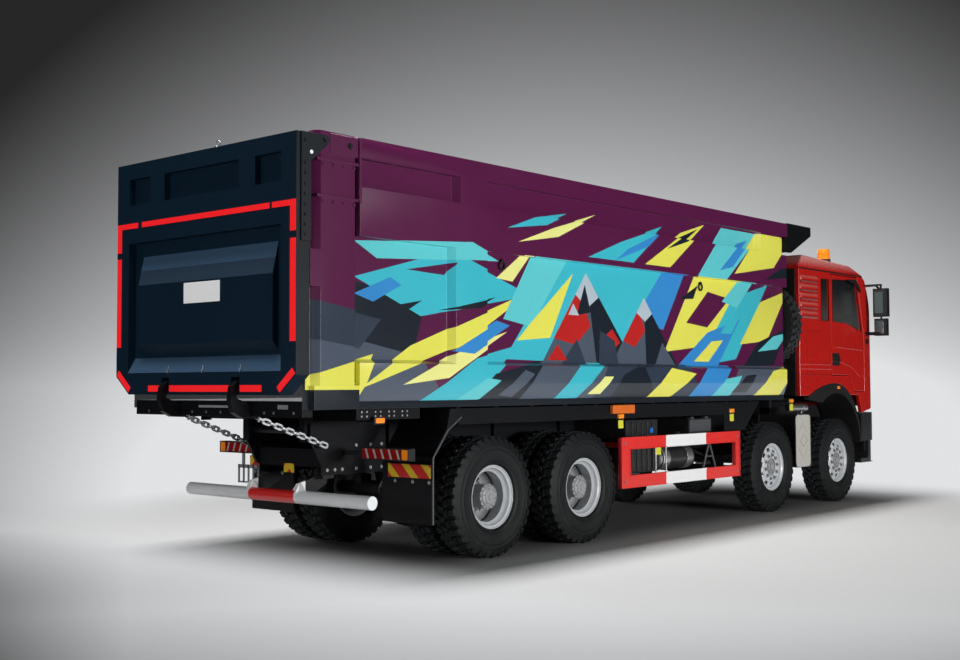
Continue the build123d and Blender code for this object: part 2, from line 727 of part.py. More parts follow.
# ------------------------------------------------------------------ spare wheel behind the cab
SPARE_X = (BED_FRONT + CAB_REAR) / 2
SPARE_Y = -HALF_W + 498
SPARE_Z = 2365.0


def make_spare():
    """Spare tyre standing across the truck, its axle along X, and the rim with its cradle."""
    flat = tyre(0, 0, 0)
    upright = Pos(SPARE_X, SPARE_Y, SPARE_Z) * Rot(0, 0, 90) * flat
    reach = TYRE_W / 2 - 35
    outline = [
        (BEAD_R - SEAT_GAP, -reach),
        (BEAD_R - SEAT_GAP, reach),
        (BEAD_R - RIM_WALL, reach),
        (BEAD_R - RIM_WALL, -20),
        (90, -20),
        (90, -40),
        (BEAD_R - RIM_WALL, -40),
        (BEAD_R - RIM_WALL, -reach),
    ]
    rim = Pos(SPARE_X, SPARE_Y, SPARE_Z) * Rot(0, 0, 90) * turned(outline, 0, 0)
    return upright, rim


CRADLE_HALF = 120.0


def make_spare_cradle():
    """Post and V-shaped cradle under the spare wheel, standing on the right-hand rail."""
    reach = TYRE_R + SEAT_GAP
    outline = [
        (SPARE_Y - 330, SPARE_Z - 520),
        (SPARE_Y - 330, SPARE_Z - 640),
        (SPARE_Y + 400, SPARE_Z - 640),
        (SPARE_Y + 400, SPARE_Z - 430),
    ]
    bed = plate_yz(outline, SPARE_X - CRADLE_HALF, SPARE_X + CRADLE_HALF)
    bed = bed - bar_x(reach, SPARE_X - 300, SPARE_X + 300, SPARE_Y, SPARE_Z)
    post = block(SPARE_X - 50, SPARE_X + 50, SPARE_Y + 325, SPARE_Y + 400, RAIL_TOP + SEAT_GAP,
                 SPARE_Z - 600)
    return bed + post


spare, rim = make_spare()
PIECES["spare_tyre"] = spare
PIECES["spare_carrier"] = group([rim, make_spare_cradle()])


# ------------------------------------------------------------------ hoist
def make_hoist():
    """Barrel on its lower pin and four telescoping tubes, the last one with the top eye."""
    low = HOIST_LOW + 60
    high = HOIST_TOP - 170
    wall = STAGE_STEP - STAGE_GAP
    barrel = bar_z(BARREL_R, HOIST_X, 0, low, high) - bar_z(BARREL_R - wall, HOIST_X, 0, low + 40, high + 5)
    foot = block(HOIST_X - 55, HOIST_X + 55, -115, 115, HOIST_LOW, low)
    foot = foot + bar_y(55, HOIST_X, -115, 115, HOIST_LOW)
    pin_hole = bar_y(30 + HUB_BORE_GAP, HOIST_X, -200, 200, HOIST_LOW)
    pieces = [(barrel + foot) - pin_hole]
    for k in range(1, STAGES + 1):
        radius = BARREL_R - k * STAGE_STEP
        bottom = low + 45 + 5 * k
        top = high + 15 * k
        tube = bar_z(radius, HOIST_X, 0, bottom, top)
        if k < STAGES:
            tube = tube - bar_z(radius - wall, HOIST_X, 0, bottom, top + 5)
        else:
            head = block(HOIST_X - 40, HOIST_X + 40, -45, 45, top - 10, HOIST_TOP)
            eye = bar_y(50, HOIST_X, -45, 45, HOIST_TOP)
            tube = tube + head + eye
        pieces.append(tube)
    return pieces


names = ["hoist_barrel"] + [f"hoist_stage_{k}" for k in range(1, STAGES + 1)]
for name, shape in zip(names, make_hoist()):
    PIECES[name] = shape


# ------------------------------------------------------------------ tipping bed
POSTS = [
    # x_rear, x_front, z_low, z_high
    (COLUMN_REAR, COLUMN_FRONT, COLUMN_LOW, BED_TOP),
    (AXLE_4 - 585, AXLE_4 - 36, SKIRT_FOLD + 18, PANEL_TOP),
]
RIBS = [
    # x_rear, x_front between the upper band and the top rail
    (AXLE_4 - 519, AXLE_4 - 45),
    (BED_FRONT - 719, BED_FRONT - 65),
]


LUG_Z = (BED_TOP - 1265, BED_TOP - 967)


def post(x0, x1, z0, z1):
    """Right-hand side post with sloping flanks."""
    flank = 60
    outline = [
        (x0, -WALL_OUT),
        (x0 + flank, -HALF_W),
        (x1 - flank, -HALF_W),
        (x1, -WALL_OUT),
    ]
    return plate_xy(outline, z0, z1)


def bed_side():
    """Right-hand wall of the bed: sheet, skirt, posts, upper band, ribs and top rail."""
    sheet = block(BED_REAR, BED_FRONT, -WALL_OUT, -WALL_IN, FLOOR_LOW, BED_TOP)
    skirt = plate_yz(
        [
            (-WALL_OUT, FLOOR_TOP - 2),
            (-WALL_OUT - 12, FLOOR_TOP - 2),
            (-HALF_W, SKIRT_FOLD),
            (-HALF_W, SKIRT_TOP - 30),
            (-WALL_OUT, SKIRT_TOP),
        ],
        COLUMN_FRONT, BED_FRONT - 20)
    band = block(COLUMN_FRONT, BED_FRONT, -HALF_W, -WALL_OUT, PANEL_TOP, BAND_TOP)
    rail = block(COLUMN_FRONT, BED_FRONT + RAIL_NOSE, -HALF_W, -WALL_OUT, RAIL_LIP, BED_TOP)
    rail_in = block(COLUMN_FRONT, BED_FRONT + RAIL_NOSE, -WALL_OUT, -WALL_IN, RAIL_LIP, BED_TOP)
    parts = [sheet, skirt, band, rail, rail_in]
    for row in POSTS:
        parts.append(post(*row))
    for x0, x1 in RIBS:
        parts.append(post(x0, x1, BAND_TOP, RAIL_LIP))
    parts.append(block(BED_REAR - 5, COLUMN_REAR + 100, -HALF_W, -WALL_OUT, *LUG_Z))
    parts.append(block(COLUMN_REAR, COLUMN_FRONT, -HALF_W + 4, -WALL_OUT, FLOOR_LOW, COLUMN_LOW))
    notch = plate_xz(
        [(BED_REAR - 5, BED_TOP - 87), (BED_REAR - 5, BED_TOP + 5), (BED_REAR + 68, BED_TOP + 5)],
        -HALF_W - 5, -WALL_IN + 5)
    bore = bar_y(GATE_PIN_R + HUB_BORE_GAP, GATE_PIN_X, -HALF_W - 50, -WALL_IN + 50, GATE_PIN_Z)
    return join(parts) - notch - bore


DOGHOUSE_HALF = 200.0
DOGHOUSE_TOP = BED_TOP - 432
DOGHOUSE_REAR = BED_FRONT - 695
DOGHOUSE_WALL = 12.0
FRONT_WALL = 45.0
SUBRAIL_REAR = TIP_X - 90
SUBRAIL_FRONT = BED_FRONT - 115
BEARERS = 14


def make_bed_floor():
    """Floor plate, the two long bearers with the hinge bores, and the cross bearers."""
    floor = block(BED_REAR, BED_FRONT - FRONT_WALL - SEAT_GAP, -WALL_IN, WALL_IN, FLOOR_LOW, FLOOR_TOP)
    parts = [floor]
    low = RAIL_TOP + SEAT_GAP
    subrail = block(SUBRAIL_REAR, SUBRAIL_FRONT, -RAIL_OUT, -RAIL_OUT + RAIL_FLANGE, low, FLOOR_LOW)
    parts += left_and_right(subrail)
    pitch = (SUBRAIL_FRONT - SUBRAIL_REAR - 300) / (BEARERS - 1)
    for k in range(BEARERS):
        x = SUBRAIL_REAR + 100 + k * pitch
        parts.append(block(x, x + 60, -WALL_IN, WALL_IN, FLOOR_LOW - 95, FLOOR_LOW))
    sill = block(BED_REAR, BED_REAR + 110, -WALL_IN, WALL_IN, FLOOR_LOW - SILL_DEEP, FLOOR_LOW)
    parts.append(sill)
    whole = join(parts)
    bore = bar_y(TIP_PIN_R + HUB_BORE_GAP, TIP_X, -WALL_IN, WALL_IN, TIP_Z)
    half = DOGHOUSE_HALF + DOGHOUSE_WALL + SEAT_GAP
    slot = block(DOGHOUSE_REAR - SEAT_GAP, BED_FRONT + 1, -half, half, low - 1, FLOOR_TOP + 1)
    return whole - bore - slot


def make_bed_front():
    """Front wall with its hoist recess, the top beam and the cab protector over the cab."""
    wall = block(BED_FRONT - FRONT_WALL, BED_FRONT, -WALL_IN, WALL_IN, FLOOR_LOW, BED_TOP)
    half = DOGHOUSE_HALF + DOGHOUSE_WALL
    rear = DOGHOUSE_REAR
    skin = DOGHOUSE_REAR + 20
    outer = plate_xz(
        [(rear, FLOOR_LOW), (rear, FLOOR_TOP + 40), (BED_FRONT - FRONT_WALL, DOGHOUSE_TOP + 60),
         (BED_FRONT, DOGHOUSE_TOP + 60), (BED_FRONT, FLOOR_LOW)],
        -half, half)
    hollow = plate_xz(
        [(skin, FLOOR_LOW - 100), (skin, FLOOR_TOP), (BED_FRONT - 10, DOGHOUSE_TOP),
         (BED_FRONT + 10, DOGHOUSE_TOP), (BED_FRONT + 10, FLOOR_LOW - 100)],
        -DOGHOUSE_HALF, DOGHOUSE_HALF)
    beam = plate_xz(
        [(BED_FRONT, CAB_TOP - 4), (BED_FRONT + 45, CAB_TOP), (BED_FRONT + 140, CAB_TOP),
         (CANOPY_TIP, CANOPY_TOP - 114), (CANOPY_TIP, CANOPY_TOP), (BED_FRONT + 42, CANOPY_TOP),
         (BED_FRONT, BED_TOP)],
        -HALF_W, HALF_W)
    under = block(BED_FRONT + 60, CANOPY_TIP - 60, -HALF_W + 40, HALF_W - 40, CAB_TOP - 90,
                  CANOPY_TOP - 50)
    canopy = beam - under
    rail_seat = left_and_right(block(BED_FRONT - 5, BED_FRONT + RAIL_NOSE, -HALF_W - 5, -WALL_IN,
                                     RAIL_LIP, BED_TOP))
    for notch in rail_seat:
        canopy = canopy - notch
    ear = block(BED_FRONT, HOIST_X + 50, -85, -55, HOIST_TOP - 60, HOIST_TOP + 60)
    brace = block(BED_FRONT, BED_FRONT + 60, -85, -55, HOIST_TOP - 200, HOIST_TOP + 60)
    return join([wall + outer - hollow, canopy] + left_and_right(ear + brace))


def make_gate_hooks():
    """Two hooks under the bed's sill that hold the foot of the tailgate shut."""
    under = FLOOR_LOW - SILL_DEEP - SEAT_GAP
    outline = [
        (BED_REAR + 60, under),
        (BED_REAR + 45, under - 18),
        (BED_REAR - 95, under - 12),
        (GATE_BACK - 30, GATE_LOW - 145),
        (GATE_BACK - HOOK_REACH, GATE_LOW - 50),
        (GATE_BACK - HOOK_REACH + 16, GATE_LOW + 70),
        (GATE_BACK + 18, GATE_LOW + 123),
        (GATE_BACK + 30, GATE_LOW + 80),
        (GATE_BACK - 8, GATE_LOW + 40),
        (GATE_BACK - 8, GATE_LOW - 25),
        (BED_REAR - SEAT_GAP, GATE_LOW - 90),
        (BED_REAR - SEAT_GAP, under),
    ]
    hook = plate_xz(outline, -HOOK_Y - HOOK_W / 2, -HOOK_Y + HOOK_W / 2)
    return group(left_and_right(hook))


CHAIN_X = (BED_REAR + 95, RAIL_REAR - 52)
CHAIN_Z = (FLOOR_LOW - 82, RAIL_TOP - 28)
CHAIN_Y = (490.0, 540.0)


LINK_WIRE = 16.0
LINK_SLOT = 22.0
LINK_LONG = 64.0


def chain_link():
    """One flat chain link lying along X, its slot along the middle."""
    outer_r = LINK_SLOT / 2 + LINK_WIRE
    middle = LINK_LONG / 2 - LINK_SLOT / 2
    ring = []
    for radius, depth in ((outer_r, LINK_WIRE), (LINK_SLOT / 2, LINK_WIRE + 2)):
        straight = Box(2 * middle, 2 * radius, depth)
        ends = [Pos(x, 0, 0) * Cylinder(radius, depth) for x in (-middle, middle)]
        ring.append(straight + ends[0] + ends[1])
    return ring[0] - ring[1]


def make_chains():
    """Safety chains from pins under the bed's sill down to the rear of the chassis."""
    level = hypot(CHAIN_X[1] - CHAIN_X[0], CHAIN_Y[1] - CHAIN_Y[0])
    tilt = atan2(CHAIN_Z[0] - CHAIN_Z[1], level)
    heading = atan2(CHAIN_Y[1] - CHAIN_Y[0], CHAIN_X[1] - CHAIN_X[0])
    place = Pos(CHAIN_X[0], -CHAIN_Y[0], CHAIN_Z[0]) * Rot(0, 0, -degrees(heading))
    place = place * Rot(0, degrees(tilt), 0)
    pin_r = LINK_WIRE / 2
    first = LINK_LONG / 2 - pin_r / cos(tilt) - pin_r * tan(tilt) - SEAT_GAP
    pitch = LINK_LONG - SEAT_GAP
    pin = bar_z(pin_r, CHAIN_X[0], -CHAIN_Y[0], CHAIN_Z[0] - 25, FLOOR_LOW - SILL_DEEP - SEAT_GAP)
    solids = left_and_right(pin)
    for k in range(round(level / cos(tilt) / pitch)):
        link = place * Pos(first + k * pitch, 0, 0) * Rot(90 * (k % 2), 0, 0) * chain_link()
        solids += left_and_right(link)
    return group(solids)


PIECES["bed_floor"] = make_bed_floor()
PIECES["bed_sides"] = group(left_and_right(bed_side()))
PIECES["bed_front"] = make_bed_front()
PIECES["gate_hooks"] = make_gate_hooks()
PIECES["chains"] = make_chains()


# ------------------------------------------------------------------ tailgate
GATE_PANEL = 60.0
GATE_CHAMFER = 160.0
GATE_BORDER = 185.0
POCKET_Z = (GATE_TOP - 381, GATE_TOP - 142)
POCKET_DEEP = 60.0
RING_Y = -147.0


def make_tailgate():
    """Tailgate: frame with a recessed panel, upper pockets, hook slots and two hinge arms."""
    outline = [
        (-HALF_W, GATE_LOW + GATE_CHAMFER),
        (-HALF_W, GATE_TOP),
        (HALF_W, GATE_TOP),
        (HALF_W, GATE_LOW + GATE_CHAMFER),
        (HALF_W - 200, GATE_LOW),
        (-HALF_W + 200, GATE_LOW),
    ]
    gate = plate_yz(outline, GATE_BACK, GATE_FRONT)
    skin = GATE_FRONT - GATE_PANEL
    half = HALF_W - GATE_BORDER
    sill = GATE_LOW + 325
    recess = block(GATE_BACK - 1, skin, -half, half, sill, GATE_TOP - 725)
    ledge = plate_xz([(GATE_BACK - 1, sill - 134), (GATE_BACK - 1, sill + 1), (skin, sill + 1)], -half, half)
    gate = gate - recess - ledge
    for y0, y1 in ((-half + 5, -half + 330), (-525, 525), (half - 330, half - 5)):
        gate = gate - block(GATE_BACK - 1, GATE_BACK + POCKET_DEEP, y0, y1, *POCKET_Z)
    bulge = plate_xz(
        [(skin + 1, GATE_TOP - 844), (GATE_BACK + 20, GATE_TOP - 1110), (GATE_BACK + 20, sill + 115),
         (skin + 1, sill + 35)],
        -half + 125, half - 125)
    gate = gate + bulge
    for y in (-HOOK_Y, HOOK_Y):
        gate = gate - block(GATE_BACK - 10, GATE_FRONT + 10, y - HOOK_SLOT / 2, y + HOOK_SLOT / 2,
                            GATE_LOW - 10, GATE_LOW + 150)
    arm = plate_xz(
        [(GATE_FRONT - 5, GATE_TOP - 230), (GATE_FRONT - 5, GATE_TOP), (GATE_PIN_X + 30, GATE_TOP),
         (GATE_PIN_X + 45, GATE_PIN_Z), (GATE_PIN_X + 20, GATE_PIN_Z - 45)],
        -HALF_W - 17, -HALF_W - 5)
    root = block(GATE_FRONT - 100, GATE_FRONT - 1, -HALF_W - 17, -HALF_W, GATE_TOP - 869, GATE_TOP)
    pin = bar_y(GATE_PIN_R, GATE_PIN_X, -HALF_W - 5, -WALL_IN - 10, GATE_PIN_Z)
    hinge = left_and_right(arm + root + pin)
    stem = bar_z(9, GATE_BACK + 70, RING_Y, GATE_TOP, GATE_TOP + 78)
    ring = stem + block(GATE_BACK + 40, GATE_BACK + 100, RING_Y - 30, RING_Y + 30, GATE_TOP + 64,
                        GATE_TOP + 78)
    return join([gate, ring] + hinge)


PIECES["tailgate"] = make_tailgate()


# ------------------------------------------------------------------ cab
INNER_Y = HALF_W - CAB_WALL
SIDE_END = CAB_NOSE - CORNER_R - 2
ROOF_BREAK_X = AXLE_1 + 352
ROOF_FALL = 52.0
PROFILE = [
    # x, z up the back of the cab, forward along its roof and down its face
    (CAB_REAR, CAB_LOW),
    (CAB_REAR, CAB_TOP - 140),
    (CAB_REAR + 110, CAB_TOP),
    (ROOF_BREAK_X, CAB_TOP - ROOF_FALL),
    (CAB_NOSE - 610, CAB_TOP - 140),
    (CAB_NOSE - 460, CAB_TOP - 230),
    (CAB_NOSE - 110, 2250.0),
    (CAB_NOSE, 2060.0),
    (CAB_NOSE - 75, 1290.0),
    (CAB_NOSE - 610, 1197.0),
    (CAB_NOSE - 690, CAB_LOW),
]
INNER_PROFILE = [
    # the same corners on the inside of the panels, open below the floor
    (CAB_REAR + CAB_WALL, 1100.0),
    (CAB_REAR + CAB_WALL, CAB_TOP - 160),
    (CAB_REAR + CAB_WALL + 70, CAB_TOP - CAB_WALL),
    (ROOF_BREAK_X - 10, CAB_TOP - ROOF_FALL - CAB_WALL),
    (CAB_NOSE - 635, CAB_TOP - 195),
    (CAB_NOSE - 508, CAB_TOP - 265),
    (CAB_NOSE - 172, 2240.0),
    (CAB_NOSE - CAB_WALL, 2050.0),
    (CAB_NOSE - 145, 1100.0),
]
ARCH_X = AXLE_1 - 128
ARCH_Z = 735.0
ARCH_STEPS = 12


def arch_edge(reach_rear, reach_front, rise, start, end):
    """(x, z) points along the wheel arch's edge, a half ellipse on each side of its crown."""
    points = []
    for k in range(ARCH_STEPS + 1):
        angle = radians(start + (end - start) * k / ARCH_STEPS)
        reach = reach_rear if cos(angle) < 0 else reach_front
        points.append((ARCH_X + reach * cos(angle), ARCH_Z + rise * sin(angle)))
    return points


ARCH_OUT = [(ARCH_X - 826, CAB_LOW - 45)] + arch_edge(1361, 778, 873, 127.3, 4)
ARCH_IN = arch_edge(745, 745, 740, 4, 124)
WINDOW_LOW = 2445.0
DOOR_WINDOW = [
    (DOOR_REAR + 44, WINDOW_LOW + 5),
    (DOOR_REAR + 44, DOOR_TOP - 69),
    (DOOR_FRONT - 245, DOOR_TOP - 40),
    (DOOR_FRONT - 65, WINDOW_LOW - 115),
    (DOOR_REAR + 482, WINDOW_LOW - 12),
]
QUARTER_WINDOW = [
    (DOOR_REAR - 290, WINDOW_LOW),
    (DOOR_REAR - 290, DOOR_TOP - 77),
    (DOOR_REAR - 69, DOOR_TOP - 73),
    (DOOR_REAR - 69, WINDOW_LOW),
]
REAR_WINDOW_Y = 620.0
REAR_WINDOW_Z = (WINDOW_LOW + 55, CAB_TOP - 370)
SCREEN_Y = HALF_W - 130
SCREEN_Z = (WINDOW_LOW - 135, CAB_TOP - 240)
GLASS_IN = 22.0
GLASS = 10.0


def cab_form(profile, inset, rear):
    """The cab's form from a side profile, with its front corners rounded in plan."""
    side = plate_xz(profile, -HALF_W + inset, HALF_W - inset)
    plan = corner_hull(CAB_NOSE - inset, HALF_W - inset, CORNER_R - inset, 1000, CAB_TOP + 100, rear)
    return side & plan


def door_outline(grow):
    """Side outline of the door, its edges moved out by a gap."""
    return [
        (DOOR_REAR - grow, DOOR_LOW - grow),
        (DOOR_REAR - grow, DOOR_TOP + grow),
        (DOOR_FRONT - 188 + grow, DOOR_TOP + grow),
        (DOOR_FRONT + grow, WINDOW_LOW - 175),
        (DOOR_FRONT + grow, DOOR_TOE - grow),
        (DOOR_FRONT - 290 - grow, DOOR_TOE - grow),
        (DOOR_FRONT - 490 - grow, DOOR_LOW - grow),
    ]


def largest(shape):
    """The largest solid of a cut or clipped shape."""
    return shape.solids().sort_by(SortBy.VOLUME)[-1]


def make_cab_panels():
    """Roof, rear wall, side frames, front panel and floor of the hollow cab."""
    outside = cab_form(PROFILE, 0, CAB_REAR)
    inside = cab_form(INNER_PROFILE, CAB_WALL, CAB_REAR - 50)
    walls = outside - inside
    wide = HALF_W + 10
    lower = block(CAB_REAR - 10, CAB_NOSE + 10, -wide, wide, 1000, ROOF_LOW)
    roof = largest(walls - lower)
    walls = walls & lower
    rear_zone = block(CAB_REAR - 10, CAB_REAR + CAB_WALL, -INNER_Y, INNER_Y, 1000, ROOF_LOW)
    side_zone = block(CAB_REAR - 10, SIDE_END, -wide, -INNER_Y, 1000, ROOF_LOW)
    rear_hole = block(CAB_REAR - 10, CAB_REAR + 100, -REAR_WINDOW_Y, REAR_WINDOW_Y, *REAR_WINDOW_Z)
    rear = largest((walls & rear_zone) - rear_hole)
    arch_foot = [(ARCH_OUT[-1][0], 700.0), (ARCH_OUT[0][0], 700.0)]
    below_arch = plate_xz(ARCH_OUT[1:] + arch_foot, -wide, -INNER_Y + 10)
    door_hole = plate_xz(door_outline(DOOR_GAP), -wide, -INNER_Y + 10)
    window_hole = plate_xz(QUARTER_WINDOW, -wide, -INNER_Y + 10)
    side = (walls & side_zone) - below_arch - door_hole - window_hole
    screen_hole = block(CAB_NOSE - 670, CAB_NOSE + 100, -SCREEN_Y, SCREEN_Y, *SCREEN_Z)
    grille_hole = block(CAB_NOSE - 300, CAB_NOSE + 100, -GRILLE_Y, GRILLE_Y, *GRILLE_Z)
    front = walls - rear_zone - side_zone - side_zone.mirror(Plane.XZ) - screen_hole - grille_hole
    floor = inside & block(CAB_REAR, CAB_NOSE, -wide, wide, CAB_FLOOR, CAB_FLOOR + FLOOR_THICK)
    ear_y = -TILT_PIN_Y - 28
    ear = block(TILT_X - 32, TILT_X + 22, ear_y - 30, ear_y, TILT_Z, CAB_FLOOR)
    ear = ear + bar_y(27, TILT_X, ear_y - 30, ear_y, TILT_Z)
    ear = ear - bar_y(TILT_PIN_R + HUB_BORE_GAP, TILT_X, ear_y - 50, ear_y + 50, TILT_Z)
    PIECES["cab_roof"] = roof
    PIECES["cab_rear"] = rear
    PIECES["cab_sides"] = group(left_and_right(largest(side)))
    PIECES["cab_front"] = largest(front)
    PIECES["cab_floor"] = join([floor] + left_and_right(ear))


def make_cab_glass():
    """Windscreen bent round the corners, rear window and the two quarter windows."""
    reach = cab_form(PROFILE, GLASS_IN, CAB_REAR)
    inner = cab_form(PROFILE, GLASS_IN + GLASS, CAB_REAR - 50)
    skin = (Pos(-GLASS_IN, 0, 0) * reach) - (Pos(-GLASS_IN - GLASS, 0, 0) * inner)
    screen = skin & block(CAB_NOSE - 570, CAB_NOSE, -SCREEN_Y, SCREEN_Y, *SCREEN_Z)
    rear_x = CAB_REAR + GLASS_IN
    rear = block(rear_x, rear_x + GLASS, -REAR_WINDOW_Y, REAR_WINDOW_Y, *REAR_WINDOW_Z)
    pane_out = -HALF_W + GLASS_IN
    quarter = plate_xz(QUARTER_WINDOW, pane_out, pane_out + GLASS)
    return group([largest(screen), rear] + left_and_right(quarter))


GRILLE_Y = 700.0
GRILLE_Z = (1390.0, 1970.0)
GRILLE_IN = 15.0
GRILLE_THICK = 25.0
GRILLE_SLATS = 7


def make_grille():
    """Slatted grille set in the front panel's opening."""
    reach = cab_form(PROFILE, GRILLE_IN, CAB_REAR)
    inner = cab_form(PROFILE, GRILLE_IN + GRILLE_THICK, CAB_REAR - 50)
    skin = (Pos(-GRILLE_IN, 0, 0) * reach) - (Pos(-GRILLE_IN - GRILLE_THICK, 0, 0) * inner)
    half = GRILLE_Y - SEAT_GAP
    plate = skin & block(CAB_NOSE - 300, CAB_NOSE, -half, half, GRILLE_Z[0] + SEAT_GAP,
                         GRILLE_Z[1] - SEAT_GAP)
    pitch = (GRILLE_Z[1] - GRILLE_Z[0] - 60) / GRILLE_SLATS
    grille = largest(plate)
    for k in range(GRILLE_SLATS):
        low = GRILLE_Z[0] + 30 + (k + 0.2) * pitch
        for y0, y1 in ((-half + 30, -15), (15, half - 30)):
            grille = grille - block(CAB_NOSE - 300, CAB_NOSE, y0, y1, low, low + 0.6 * pitch)
    return grille


def make_wheel_arches():
    """Plastic arch on each side: a flat outer lip and a liner reaching in over the wheel."""
    lip = plate_xz(ARCH_OUT + ARCH_IN, -HALF_W - 5, -INNER_Y)
    spread = 1.025
    outer = [(AXLE_1 + (x - AXLE_1) * spread, TYRE_R + (z - TYRE_R) * spread) for x, z in ARCH_IN]
    liner = plate_xz(ARCH_IN + outer[::-1], -INNER_Y, -760)
    return group(left_and_right(lip + liner))


MIRROR_X = (DOOR_FRONT + 50, DOOR_FRONT + 140)
MIRROR_Y = (HALF_W + 124, HALF_W + 327)
MIRROR_Z = (WINDOW_LOW + 97, WINDOW_LOW + 496)
SMALL_MIRROR_Z = (WINDOW_LOW - 170, WINDOW_LOW + 72)


def make_mirrors():
    """Mirror housings on an upright held off the windscreen pillar by two arms."""
    x0, x1 = MIRROR_X
    upright_y = -(MIRROR_Y[0] + MIRROR_Y[1]) / 2
    parts = [
        block(x0, x1, -MIRROR_Y[1], -MIRROR_Y[0], *MIRROR_Z),
        block(x0, x1, -MIRROR_Y[1] + 15, -MIRROR_Y[0] - 15, *SMALL_MIRROR_Z),
        bar_z(14, x0 + 40, upright_y, SMALL_MIRROR_Z[0] + 20, MIRROR_Z[1] + 58),
        block(x0 - 20, x0 + 54, upright_y - 14, -HALF_W, MIRROR_Z[1] + 40, MIRROR_Z[1] + 62),
        block(x0 - 20, x0 + 54, upright_y, -HALF_W, SMALL_MIRROR_Z[0] + 30, SMALL_MIRROR_Z[0] + 52),
    ]
    return group(left_and_right(join(parts)))


BEACON_X = AXLE_1 - 168
BEACON_Y = HALF_W - 130
BEACON_R = 85.0


def make_beacons():
    """Round warning beacons on the roof above the doors."""
    share = (ROOF_BREAK_X - BEACON_X) / (ROOF_BREAK_X - CAB_REAR - 110)
    roof_z = CAB_TOP - ROOF_FALL * (1 - share)
    foot = bar_z(BEACON_R, BEACON_X, -BEACON_Y, roof_z + 3, roof_z + 75)
    base = bar_z(BEACON_R - 25, BEACON_X, -BEACON_Y, roof_z - 5, roof_z + 10)
    lens = bar_z(BEACON_R - 10, BEACON_X, -BEACON_Y, roof_z + 75, roof_z + 178)
    roof = PIECES["cab_roof"]
    return group(left_and_right((foot + base + lens) - roof))


SEAT_X = AXLE_1 - 308
SEAT_Y = 600.0


def make_cab_interior():
    """Two seats, the bunk behind them, and the dashboard with its steering wheel."""
    low = CAB_FLOOR + FLOOR_THICK
    seat = join([
        block(SEAT_X + 60, SEAT_X + 400, -SEAT_Y - 170, -SEAT_Y + 170, low, low + 300),
        block(SEAT_X, SEAT_X + 500, -SEAT_Y - 250, -SEAT_Y + 250, low + 300, low + 440),
        block(SEAT_X - 60, SEAT_X + 60, -SEAT_Y - 240, -SEAT_Y + 240, low + 380, low + 1060),
        block(SEAT_X - 50, SEAT_X + 50, -SEAT_Y - 130, -SEAT_Y + 130, low + 1040, low + 1250),
    ])
    bunk = block(CAB_REAR + CAB_WALL, CAB_REAR + 650, -INNER_Y, INNER_Y, low, low + 460)
    dash = plate_xz(
        [(CAB_NOSE - 510, low), (CAB_NOSE - 510, 2180), (CAB_NOSE - 410, 2260),
         (CAB_NOSE - 185, 2245), (CAB_NOSE - 110, 2060), (CAB_NOSE - 150, low)],
        -INNER_Y + 60, INNER_Y - 60)
    dash = dash & cab_form(INNER_PROFILE, CAB_WALL + 1, CAB_REAR)
    tilt = Pos(CAB_NOSE - 610, SEAT_Y, 2290) * Rot(0, -62, 0)
    wheel = tilt * (Cylinder(230, 28) - Cylinder(205, 40))
    hub = tilt * Cylinder(60, 30)
    spokes = tilt * Box(430, 30, 14)
    column = tilt * Pos(0, 0, -110) * Cylinder(30, 220)
    return group(left_and_right(seat) + [bunk, join([dash, column, hub, spokes, wheel])])


def make_door():
    """Right-hand door, as thick as the cab's wall, with its window cut, and its pane."""
    panel = plate_xz(door_outline(0), -HALF_W, -INNER_Y)
    hole = plate_xz(DOOR_WINDOW, -HALF_W - 10, -INNER_Y + 10)
    handle = block(DOOR_REAR + 21, DOOR_REAR + 220, -HALF_W - 18, -HALF_W, 1900, 1960)
    pane_out = -HALF_W + GLASS_IN
    pane = plate_xz(DOOR_WINDOW, pane_out, pane_out + GLASS)
    return panel - hole + handle, pane


make_cab_panels()
PIECES["cab_glass"] = make_cab_glass()
PIECES["grille"] = make_grille()
PIECES["wheel_arches"] = make_wheel_arches()
PIECES["mirrors"] = make_mirrors()
PIECES["beacons"] = make_beacons()
PIECES["cab_interior"] = make_cab_interior()
door, pane = make_door()
for side, shape in (("right", door), ("left", door.mirror(Plane.XZ))):
    PIECES[f"door_{side}"] = shape
for side, shape in (("right", pane), ("left", pane.mirror(Plane.XZ))):
    PIECES[f"door_glass_{side}"] = shape


# ------------------------------------------------------------------ write the pieces
os.makedirs("parts", exist_ok=True)
REAR_END = GATE_BACK - HOOK_REACH
MIDDLE = (REAR_END + BUMPER_NOSE) / 2
for name, shape in PIECES.items():
    export_step(Pos(-MIDDLE, 0, 0) * shape, f"parts/{name}.step")
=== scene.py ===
# %% [markdown]
# An eight-wheeled tipping truck, dressed for a studio shot. The solid frame with its joints
# is loaded first and never moved. Everything below adds what steel, rubber, paint and glass
# look like. Each piece rides on one of the frame's moving bodies.

# %% Load the frame
from functools import partial, partialmethod
from math import atan2, cos, pi, radians, sin

import bmesh
import bpy
from mathutils import Matrix, Vector


